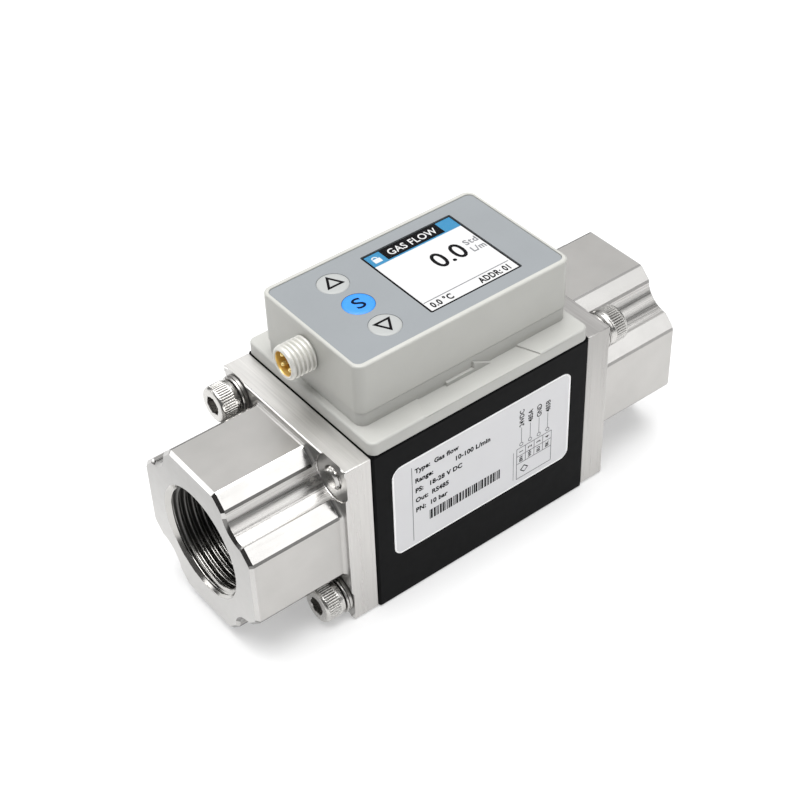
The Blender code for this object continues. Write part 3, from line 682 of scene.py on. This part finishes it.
# ------------------------------------------------------------ bolts, washers
def bolt(name, sy, sz, toward, spin):
    teeth = 44
    n = teeth * 6
    groove = (0.0, 0.0, 0.10, 0.34, 0.10, 0.0)

    def wave(a, r, t):
        if 39.4 < a < 42.15:
            r -= groove[round(t * n / TAU) % 6]
        elif a < -30:
            u = (a / 0.8 - t / TAU) % 1.0
            fade = min(1.0, max(0.0, (a - BOLT_TIP) / 0.5))
            r -= 0.42 * fade * (1 - abs(2 * u - 1)) if r > 2.2 else 0
        return a, r

    prof = [(BOLT_TIP, 0), (BOLT_TIP, 1.7), (BOLT_TIP + 0.06, 1.95), (BOLT_TIP + 0.5, 2.42)]
    prof += [(BOLT_TIP + 0.5 + 0.8 * k / 12, 2.48) for k in range(1, 31)]
    prof += [(-30, 2.48), (HEAD_X0 - 0.2, 2.48), (HEAD_X0, 2.7), (HEAD_X0, 3.9),
             (HEAD_X0 + 0.06, 4.02), (HEAD_X0 + 0.2, 4.1), (38.72, 4.14),
             (38.80, HEAD_R - 0.03), (38.9, HEAD_R), (39.35, HEAD_R), (39.45, HEAD_R), (42.1, HEAD_R),
             (42.25, HEAD_R - 0.02), (42.45, HEAD_R - 0.07), (42.66, HEAD_R - 0.18),
             (42.83, HEAD_R - 0.32), (42.92, HEAD_R - 0.46), (HEAD_X1, HEAD_R - 0.60),
             (HEAD_X1, 2.7), (HEAD_X1, 0)]
    at = (0, sy * BOLT_PITCH, AXIS_Z + sz * BOLT_PITCH)
    obj = turned(name + "_v", prof, n, mats=[M["bolt"], M["bolt_shade"]], wave=wave, angle=40)
    hexa = [(4.06 / math.sqrt(3) * math.cos(spin + k * TAU / 6),
             4.06 / math.sqrt(3) * math.sin(spin + k * TAU / 6)) for k in range(6)]
    socket = poly("tool_socket", hexa, HEAD_X1 - 2.5, HEAD_X1 + 1, "YZ")
    flare = turned("tool_flare", [(HEAD_X1 - 0.12, 0), (HEAD_X1 - 0.12, 2.04),
                                  (HEAD_X1 + 0.3, 2.46), (HEAD_X1 + 0.3, 0)], 48)
    boolean(obj, [socket, flare], angle=40)
    obj.data.materials.clear()
    obj.data.materials.append(M["bolt"])
    obj.data.materials.append(M["bolt_shade"])
    # painted shade: the socket bore and the knurl grooves take the darker bolt steel
    paint(obj, lambda c, nn: 1 if 40 < c.x < HEAD_X1 - 2 and math.hypot(c.y, c.z) < 2.45
          or 39.4 < c.x < 42.1 and 3 < math.hypot(c.y, c.z) < HEAD_R - 0.13 else 0)
    obj.location = [v * MM for v in at]
    if toward < 0:
        obj.rotation_euler = (0, 0, math.pi)
    return place(obj, nodes=[name], slot="bolt_steel")


def washer(name, sy, sz, toward, spin):
    n, gap, lift = 96, math.radians(7), 0.08
    lo, hi, r0, r1 = 36.28, 37.72, 2.75, 4.4
    thick = hi - lo - lift
    sec = []
    c = 0.14
    for (u, v), a0 in (((0 + c, r0 + c), 180), ((thick - c, r0 + c), 270),
                       ((thick - c, r1 - c), 0), ((0 + c, r1 - c), 90)):
        sec += arc((u, v), c, a0, a0 + 90, 3)
    mid = 0.62 * thick
    sec[12:12] = [(mid + 0.12, r1), (mid, r1 - 0.40), (mid - 0.12, r1)]
    rings = []
    for k in range(n + 1):
        a = spin + gap / 2 + (TAU - gap) * k / n
        x0 = lo + lift * k / n
        rings.append([(x0 + u, v * math.cos(a), v * math.sin(a)) for u, v in sec])
    obj = loft(name + "_v", rings, [M["washer"]], 40)
    obj.location = (0, sy * BOLT_PITCH * MM, (AXIS_Z + sz * BOLT_PITCH) * MM)
    if toward < 0:
        obj.rotation_euler = (0, 0, math.pi)
    return place(obj, nodes=[name], slot="bolt_steel")


for bolt_name, washer_name, sy, sz, toward, spin in (
        ("inlet_bolt_upper", "inlet_washer_upper", 1, 1, -1, 0.30),
        ("inlet_bolt_lower", "inlet_washer_lower", -1, -1, -1, 0.10),
        ("outlet_bolt_upper", "outlet_washer_upper", -1, 1, 1, 0.55),
        ("outlet_bolt_lower", "outlet_washer_lower", 1, -1, 1, 0.82)):
    bolt(bolt_name, sy, sz, toward, spin)
    washer(washer_name, sy, sz, toward, 1.9 + spin)


# ---------------------------------------------------------------- base plate
def round_levels(z0, z1, lower, upper, steps=5):
    """Levels of a slab whose lower and upper edges are rounded."""
    out = []
    for k in range(steps + 1):
        a = math.radians(90 * k / steps)
        out.append((z0 + lower * (1 - math.sin(a)), lower * (1 - math.cos(a))))
    out.reverse()
    for k in range(steps + 1):
        a = math.radians(90 * k / steps)
        out.append((z1 - upper * (1 - math.sin(a)), upper * (1 - math.cos(a))))
    return out


base = slab("base_plate_v", 29.8, 22.24, 1.8, round_levels(45.1, 47.95, 0.01, 0.58), n=10)
cuts = []
for s in (-1, 1):
    pts = [(-13.2, s * 16.0), (13.2, s * 16.0), (16.2, s * 23.2), (-16.2, s * 23.2)]
    cuts.append(poly("tool_ledge", pts, 47.55, 49.0))
boolean(base, cuts)
soften(base, 0.07, 2, 28)
skirt = slab("tool_skirt", 28.22, 16.72, 2.1, round_levels(46.6, 51.4, 0.1, 0.25), n=10)
arrow = poly("tool_arrow", [(-6.1, 47.2), (6.6, 47.2), (1.2, 50.1), (1.2, 48.5), (-6.1, 48.5)],
             -17.40, -15.8, "XZ")
soften(arrow, 0.08, 2)
boolean(base, [skirt, arrow], "UNION")
lip = slab("tool_lip", 29.8, 22.24, 1.8, [(44.63, 0.16), (44.70, 0.05), (44.8, 0), (45.6, 0)], n=10)
boolean(base, [lip], "UNION")
seat = slab("tool_seat", 29.42, 22.0, 1.4, [(44.0, 0), (45.1, 0)], n=8)
boolean(base, [seat])
room = slab("tool_room", 25.0, 13.45, 0.8, [(48.2, 0), (55, 0)], n=6)
hole = slab("tool_open", 14.0, 8.5, 1.5, [(44, 0), (50, 0)], n=6)
boolean(base, [room, hole])
base.data.materials.clear()
base.data.materials.append(M["base"])
place(base, nodes=["base_plate"], slot="base_plastic")

# ------------------------------------------------------------ display housing
house = slab("head_housing_v", 28.5, 16.95, 2.3, round_levels(51.55, 63.95, 0.12, 0.52), n=12)
cuts = [slab("tool_cavity", 26.5, 14.95, 1.3, [(50, 0), (61.8, 0)], n=6),
        slab("tool_recess", 27.7, 15.8, 1.6, [(62.95, 0), (63.85, 0), (64.6, -0.75)], n=10),
        slab("tool_open", 13.4, 13.4, 0.6, [(61, 0), (63.5, 0)], at=SCREEN_C, n=4),
        turned("tool_conn", [(-30, 0), (-30, 3.6), (-26, 3.6), (-26, 0)], 48,
               at=(0, CONN_Y, CONN_Z))]
cuts += [turned("tool_key", [(61, 0), (61, 3.85), (63.5, 3.85), (63.5, 0)], 64, "Z",
                at=(BUTTON_X, y, 0)) for y in BUTTON_Y]
boolean(house, cuts)
house.data.materials.clear()
house.data.materials.append(M["housing"])
place(house, nodes=["head_housing"], slot="housing_plastic")

panel = slab("overlay_panel_v", 27.685, 15.785, 1.585, [(63.05, 0), (63.66, 0), (63.69, 0.04)],
             n=10)
cuts = [slab("tool_win", 12.36, 12.26, 0.4, [(63, 0), (64, 0)], at=SCREEN_C, n=5)]
cuts += [turned("tool_key", [(63, 0), (63, 3.60), (64, 3.60), (64, 0)], 96, "Z",
                at=(BUTTON_X, y, 0)) for y in BUTTON_Y]
boolean(panel, cuts)
panel.data.materials.clear()
panel.data.materials.append(M["panel"])
place(panel, nodes=["overlay_panel"], slot="panel_film")

window = slab("display_window_v", 12.27, 12.17, 0.4, round_levels(62.74, 63.58, 0.05, 0.05, 3),
              [M["window"]], SCREEN_C, n=5)
hollow = slab("tool_hollow", 12.23, 12.13, 0.35, [(62, 0), (63.52, 0)], at=SCREEN_C, n=4)
boolean(window, [hollow])
window.data.materials.clear()
window.data.materials.append(M["window"])
place(window, nodes=["display_window"], slot="window_clear")


# ------------------------------------------------------------------- letters
def letters(name, text, size, at, look, axes=((1, 0, 0), (0, 1, 0)), deep=0.03, weight=0.0,
            align="LEFT", squeeze=1.0, spacing=1.0):
    """Raised lettering; size is the height of a capital, in mm, and at is its foot."""
    curve = bpy.data.curves.new(name, "FONT")
    curve.body = text
    curve.size = size / 0.69 * MM
    curve.align_x = align
    curve.extrude = deep / 2 * MM
    curve.offset = weight * MM
    curve.space_character = spacing
    curve.resolution_u = 4
    temp = bpy.data.objects.new(name + "_t", curve)
    COLL.objects.link(temp)
    bpy.context.view_layer.update()
    graph = bpy.context.evaluated_depsgraph_get()
    mesh = bpy.data.meshes.new_from_object(temp.evaluated_get(graph), depsgraph=graph)
    bpy.data.objects.remove(temp, do_unlink=True)
    bpy.data.curves.remove(curve)
    mesh.name = name
    u, v = Vector(axes[0]), Vector(axes[1])
    w = u.cross(v)
    rot = Matrix((u * squeeze, v, w)).transposed().to_4x4()
    mesh.transform(Matrix.Translation(Vector(at) * MM) @ rot)
    mesh.materials.clear()
    mesh.materials.append(M[look])
    obj = new_object(name, mesh)
    tidy(obj, 40)
    return obj


def strip(name, pts, z0, z1, look, plane="XY"):
    return poly(name, pts, z0, z1, plane, [M[look]])


def rect(x0, x1, y0, y1):
    return [(x0, y0), (x1, y0), (x1, y1), (x0, y1)]


# ------------------------------------------------------------ screen picture
SX0, SX1, SY0, SY1 = -4.94, 18.64, -11.34, 12.04
ZS = 63.38
picture = [
    strip("screen_back", rect(-5.48, 18.92, -11.88, 12.32), ZS - 0.3, ZS + 0.02, "lcd_frame"),
    strip("screen_page", rect(SX0, SX1, SY0, SY1), ZS + 0.021, ZS + 0.04, "lcd_white"),
    strip("screen_bar", rect(SX0, SX1, 7.95, SY1), ZS + 0.041, ZS + 0.06, "lcd_blue"),
    strip("screen_title_bar", rect(-0.95, 14.6, 8.35, SY1), ZS + 0.061, ZS + 0.08, "lcd_black"),
    strip("screen_foot_line", rect(SX0 + 0.2, SX1 - 0.4, -8.42, -8.18), ZS + 0.041, ZS + 0.06,
          "lcd_grey"),
]
picture.append(letters("screen_title", "GAS FLOW", 2.05, (6.85, 9.22, ZS + 0.09), "lcd_white",
                       align="CENTER", weight=0.03, deep=0.02, squeeze=0.86, spacing=1.05))
picture.append(letters("screen_zero_left", "0", 5.1, (7.2, -1.3, ZS + 0.055), "ink", align="CENTER",
                       deep=0.03, weight=0.085, squeeze=0.92))
picture.append(letters("screen_zero_right", "0", 5.1, (12.3, -1.3, ZS + 0.055), "ink",
                       align="CENTER", deep=0.03, weight=0.085, squeeze=0.92))
picture.append(turned("screen_point", [(ZS + 0.041, 0), (ZS + 0.041, 0.46), (ZS + 0.07, 0.46),
                                       (ZS + 0.07, 0)], 24, "Z", [M["ink"]], at=(9.75, -0.85, 0)))
picture.append(letters("screen_unit_top", "Std", 1.75, (14.85, 1.5, ZS + 0.055), "lcd_grey",
                       deep=0.03, weight=0.05, spacing=1.12))
picture.append(letters("screen_unit_low", "L/m", 1.75, (14.7, -1.3, ZS + 0.055), "lcd_grey",
                       deep=0.03, weight=0.05, spacing=1.05, squeeze=0.92))
picture.append(letters("screen_temperature", "0.0 °C", 1.7, (-4.0, -10.75, ZS + 0.055), "ink",
                       deep=0.03, weight=0.08, spacing=1.1, squeeze=0.8))
picture.append(letters("screen_address", "ADDR: 01", 1.75, (17.4, -10.8, ZS + 0.055), "ink",
                       align="RIGHT", deep=0.03, weight=0.08, spacing=1.1, squeeze=0.72))
# padlock: body, shackle
picture.append(strip("screen_lock_body", rect(-3.95, -2.05, 8.85, 10.25), ZS + 0.061, ZS + 0.09,
                     "lcd_white"))
outer = arc((-3.20, 10.35), 0.75, -5, 175, 18)
inner = arc((-3.20, 10.35), 0.45, 175, -5, 18)
picture.append(strip("screen_lock_bow", outer + inner, ZS + 0.061, ZS + 0.09, "lcd_white"))
for piece in picture:
    place(piece, slot="display_face")


# ------------------------------------------------------------------- buttons
def key(name, y, look, body):
    crown = [(63.50, 3.56)]
    for k in range(1, 13):
        a = math.radians(90 * k / 12)
        crown.append((63.54 + 0.32 * math.sin(a), 2.30 + 1.26 * math.cos(a) ** 0.8
                      if k < 12 else 2.30))
    prof = [(60.5, 0), (60.5, 4.0), (60.7, 4.2), (61.3, 4.2), (61.5, 4.0), (61.5, 3.56)]
    prof += crown + [(63.868, 1.2), (63.87, 0)]
    obj = turned("button_" + name + "_v", prof, 96, "Z", [M[look]], 40, at=(BUTTON_X, y, 0))
    place(obj, body, ["button_" + name], "key_blue" if look == "key_blue" else "key_light")
    return obj


def triangle(name, y, up, body):
    """Outlined triangle, its apex at +Y when up is 1 and at -Y when it is -1."""
    out = [(0.0, 2.50), (-2.24, -1.55), (2.24, -1.55)]
    inn = [(0.0, 1.36), (-1.29, -0.99), (1.29, -0.99)]
    z0, z1 = 63.855, 63.895
    verts, faces = [], []
    for z in (z0, z1):
        for ring in (out, inn):
            verts += [(BUTTON_X + u, y + up * v, z) for u, v in ring]
    for i in range(3):
        k = (i + 1) % 3
        faces += [(6 + i, 6 + k, 9 + k, 9 + i), (i, 3 + i, 3 + k, k),
                  (i, k, 6 + k, 6 + i), (3 + i, 9 + i, 9 + k, 3 + k)]
    obj = from_data("print_" + name, verts, faces, [M["ink"]])
    place(obj, body, slot="key_light")


key("up", BUTTON_Y[0], "key", "up_key")
key("select", BUTTON_Y[1], "key_blue", "select_key")
key("down", BUTTON_Y[2], "key", "down_key")
triangle("up", BUTTON_Y[0] + 0.22, 1, "up_key")
triangle("down", BUTTON_Y[2] - 0.1, -1, "down_key")
place(letters("print_select", "S", 3.4, (BUTTON_X, BUTTON_Y[1] - 1.7, 63.875), "ink_navy",
              align="CENTER", deep=0.04, weight=0.05, squeeze=1.16), "select_key", slot="key_blue")


# ----------------------------------------------------------------- connector
def connector():
    pitch, r1, depth = 1.05, 3.95, 0.64
    x0, x1 = -34.15, -28.9

    def wave(a, r, t):
        if x0 <= a <= x1 and r > 3.5:
            u = (a / pitch - t / TAU) % 1.0
            s = (0.5 - 0.5 * math.cos(TAU * u)) ** 2.0
            fade = min(1.0, (a - x0) / 0.5, (x1 - a) / 0.25)
            r -= depth * max(0.0, fade) * s
        return a, r

    prof = [(-34.55, 2.85), (-34.70, 2.95), (-34.75, 3.12), (-34.75, 3.32), (-34.66, 3.55),
            (-34.45, 3.72), (x0, 3.82)]
    rows = 110
    prof += [(x0 + (x1 - x0) * k / rows, 3.82 + (r1 - 3.82) * min(1, k / 10))
             for k in range(1, rows + 1)]
    prof += [(-28.75, 3.45), (-28.65, 3.4), (-28.65, 3.3), (-24.0, 3.3), (-24.0, 2.8), (-29.4, 2.8),
             (-34.2, 2.8)]
    obj = turned("connector_shell_v", prof, 120, mats=[M["conn"], M["gold_wall"]], wave=wave, angle=50,
                 at=(0, CONN_Y, CONN_Z), phase=0.01)
    paint(obj, lambda c, n: 1 if c.x < -28 and math.hypot(c.y - CONN_Y, c.z - CONN_Z) < 2.84
          else 0)
    place(obj, nodes=["connector_shell"], slot="connector_nickel")
    insert = turned("connector_insert_v", [(-29.4, 0), (-29.4, 2.3), (-29.2, 2.5), (-21.6, 2.5),
                                           (-21.6, 0)], 64, mats=[M["amber"]],
                    at=(0, CONN_Y, CONN_Z))
    holes = [turned("tool_pin", [(-30, 0), (-30, 0.56), (-21, 0.56), (-21, 0)], 24,
                    at=(0, CONN_Y + dy, CONN_Z + dz))
             for dy, dz in PIN_AT]
    boolean(insert, holes)
    insert.data.materials.clear()
    insert.data.materials.append(M["amber"])
    place(insert, nodes=["connector_insert"], slot="connector_insert")
    for k, (dy, dz) in enumerate(PIN_AT):
        prof = [(-34.2, 0)] + [(-34.2 + 0.45 * (1 - math.cos(math.radians(a))),
                                0.5 * math.sin(math.radians(a))) for a in (15, 30, 45, 60, 75, 90)]
        prof += [(-21.2, 0.5), (-21.2, 0)]
        pin = turned("connector_pin_%d_v" % (k + 1), prof, 28, mats=[M["gold"]],
                     at=(0, CONN_Y + dy, CONN_Z + dz), angle=50)
        place(pin, nodes=["connector_pin_%d" % (k + 1)], slot="gold_contact")


connector()

# --------------------------------------------------------------------- label
LX0, LX1, LZ0, LZ1 = -25.05, 24.85, 12.7, 38.2
lc = ((LX0 + LX1) / 2, (LZ0 + LZ1) / 2)
lh = ((LX1 - LX0) / 2, (LZ1 - LZ0) / 2)
rim = slab("label_plate_v", lh[0], lh[1], 2.2, [(-22.0, 0), (-22.26, 0), (-22.30, 0.04)],
           [M["label_rim"]], lc, "XZ", n=12)
place(rim, nodes=["label_plate"], slot="label_film")
face = slab("label_face", lh[0] - 0.5, lh[1] - 0.5, 1.75, [(-22.30, 0), (-22.33, 0)],
            [M["label"]], lc, "XZ", n=12)
place(face, slot="label_film")
FRONT = ((1, 0, 0), (0, 0, 1))
YL = -22.345


def label_text(name, text, size, x, z, weight=0.06, align="LEFT", squeeze=1.0):
    place(letters(name, text, size, (x, YL, z), "label_ink", FRONT, 0.03, weight, align, squeeze,
                  1.05),
          slot="label_film")


def label_box(name, x0, x1, z0, z1, look="label_line"):
    place(poly(name, rect(x0, x1, z0, z1), -22.331, -22.36, "XZ", [M[look]]), slot="label_film")


label_box("label_rule", -19.98, -19.84, 14.4, 36.0)
lines = (("Type:", -13.9, "Gas flow"), ("Range:", -8.3, "10-100 L/min"),
         ("PS:", -15.4, "18-28 V DC"), ("Out:", -14.7, "RS485"), ("PN:", -15.3, "10 bar"))
for k, (a, x, b) in enumerate(lines):
    z = 33.85 - 2.85 * k
    label_text("label_item_%d" % k, a, 1.22, -19.1, z)
    label_text("label_value_%d" % k, b, 1.22, x, z)
x = -15.4
k = 0
while x < 4.3:
    w = 0.16 + 0.11 * ((k * 7 + k * k // 3) % 4)
    label_box("label_bar_%02d" % k, x, x + w, 18.1, 20.8, "label_ink")
    x += w + 0.15 + 0.10 * ((k * 5) % 3)
    k += 1

# wiring table: two rows of four cells over one long cell, and a lead above each column
TX = (9.35, 11.9, 14.45, 17.0, 19.55)
TZ = (14.6, 19.1, 21.4, 23.7)
LINE = 0.07
label_box("label_side_line", 8.35, 8.45, 14.9, 23.2)
for k, x in enumerate(TX):
    lo = TZ[0] if k in (0, 4) else TZ[1]
    label_box("label_cell_v%d" % k, x - LINE, x + LINE, lo, TZ[3])
for k, z in enumerate(TZ):
    label_box("label_cell_h%d" % k, TX[0], TX[4], z - LINE, z + LINE)
UPWARD = ((0, 0, 1), (-1, 0, 0))
for k, (lead, colour) in enumerate((("24VDC", "BN"), ("485A", "WH"), ("GND", "BU"),
                                    ("485B", "BK"))):
    x = (TX[k] + TX[k + 1]) / 2
    label_box("label_lead_%d" % k, x - 0.06, x + 0.06, 25.3, 29.6)
    ring_o = arc((x, 24.7), 0.55, 0, 360, 20)[:-1]
    ring_i = arc((x, 24.7), 0.40, 0, 360, 20)[:-1]
    verts = [(u, y, v) for y in (-22.331, -22.36) for r in (ring_o, ring_i) for u, v in r]
    faces = []
    for i in range(20):
        j = (i + 1) % 20
        faces += [(i, j, 20 + j, 20 + i), (40 + i, 60 + i, 60 + j, 40 + j),
                  (i, 40 + i, 40 + j, j), (20 + i, 20 + j, 60 + j, 60 + i)]
    place(from_data("label_pin_%d" % k, verts, faces, [M["label_line"]]), slot="label_film")
    for name, text, size, z in (("lead", lead, 1.3, 29.9), ("number", str(k + 1), 1.1, 22.15),
                                ("colour", colour, 0.95, 19.45)):
        place(letters("label_%s_text_%d" % (name, k), text, size,
                      (x + size / 2, YL, z), "label_ink", UPWARD, 0.03, 0.02, squeeze=0.85),
              slot="label_film")
mid = (11.6, 16.85)
place(poly("label_diamond_a", [(mid[0] - 1.2, mid[1]), (mid[0], mid[1] - 1.1), (mid[0] + 1.2, mid[1]),
                               (mid[0], mid[1] + 1.1)], -22.331, -22.36, "XZ", [M["label_ink"]]),
      slot="label_film")
place(poly("label_diamond_b", [(mid[0] - 0.85, mid[1]), (mid[0], mid[1] - 0.78),
                               (mid[0] + 0.85, mid[1]), (mid[0], mid[1] + 0.78)],
           -22.34, -22.375, "XZ", [M["label"]]), slot="label_film")

# ----------------------------------------------------------- floor and lights
bpy.ops.mesh.primitive_plane_add(size=6.0, location=(0, 0, 0))
floor = bpy.context.object
floor.name = "floor"
fm = Mat("floor_paint", (0.59, 0.59, 0.59), 0.6)
fm.b.inputs["Emission Color"].default_value = (1, 1, 1, 1)
fm.b.inputs["Emission Strength"].default_value = 0.36
fm.vary_color(fm.noise(3.0, 2, 0.5), 0.995, 1.0)
floor.data.materials.append(fm.m)


def softbox(name, toward, distance, size, radiance, turn=0.0):
    """Rectangular area light of a given brightness, seen from the meter in one direction."""
    light = bpy.data.lights.new(name, "AREA")
    light.shape = "RECTANGLE"
    light.size, light.size_y = size
    light.energy = radiance * math.pi * size[0] * size[1]
    obj = bpy.data.objects.new(name, light)
    COLL.objects.link(obj)
    d = Vector(toward).normalized()
    obj.location = Vector((0, 0, 0.03)) + d * distance
    obj.rotation_mode = "QUATERNION"
    obj.rotation_quaternion = (-d).to_track_quat("-Z", "Y") @ Matrix.Rotation(
        math.radians(turn), 3, "Z").to_quaternion()
    return obj


world = bpy.data.worlds.new("studio")
bpy.context.scene.world = world
world.use_nodes = True
world.node_tree.nodes["Background"].inputs["Color"].default_value = (1, 1, 1, 1)
world.node_tree.nodes["Background"].inputs["Strength"].default_value = 0.13
softbox("top_light", (-0.06, 0.03, 1.0), 1.5, (1.5, 1.5), 5.6)
softbox("back_light", (0.38, 0.64, 0.66), 1.5, (1.6, 1.15), 0.62)
softbox("far_light", (0.70, 0.50, 0.52), 1.4, (0.6, 0.8), 0.22)
softbox("near_light", (0.24, 0.62, 0.75), 1.5, (0.55, 0.6), 0.15)
softbox("left_light", (-0.68, 0.65, 0.35), 1.3, (0.50, 0.46), 2.30)
softbox("neck_light", (-0.39, 0.64, 0.67), 1.3, (0.42, 0.36), 1.30)
softbox("facet_light", (0.358, -0.702, 0.616), 1.3, (0.44, 0.62), 1.95)
softbox("far_facet_light", (0.603, -0.583, 0.545), 1.3, (0.34, 0.95), 1.35)
softbox("high_far_light", (0.57, 0.0, 0.82), 1.3, (0.45, 0.40), 0.62)
softbox("low_far_light", (0.715, -0.690, 0.113), 1.3, (0.40, 0.22), 0.55)

bpy.context.scene.view_settings.view_transform = "Standard"
bpy.context.scene.view_settings.look = "None"

# -------------------------------------------------------------------- camera
cam_data = bpy.data.cameras.new("camera")
cam = bpy.data.objects.new("camera", cam_data)
COLL.objects.link(cam)
bpy.context.scene.camera = cam
cam_data.sensor_width = 36.0
cam_data.sensor_fit = "HORIZONTAL"
cam_data.lens = 77.457
cam_data.clip_start, cam_data.clip_end = 0.01, 20
yaw, pitch, roll = (math.radians(a) for a in (53.3142, -41.3907, -2.1736))
fwd = Vector((math.cos(pitch) * math.cos(yaw), math.cos(pitch) * math.sin(yaw), math.sin(pitch)))
right = fwd.cross(Vector((0, 0, 1))).normalized()
up = right.cross(fwd)
r2 = math.cos(roll) * right + math.sin(roll) * up
u2 = -math.sin(roll) * right + math.cos(roll) * up
cam.matrix_world = Matrix((
    (r2.x, u2.x, -fwd.x, -0.176365), (r2.y, u2.y, -fwd.y, -0.229218),
    (r2.z, u2.z, -fwd.z, 0.283654), (0, 0, 0, 1)))
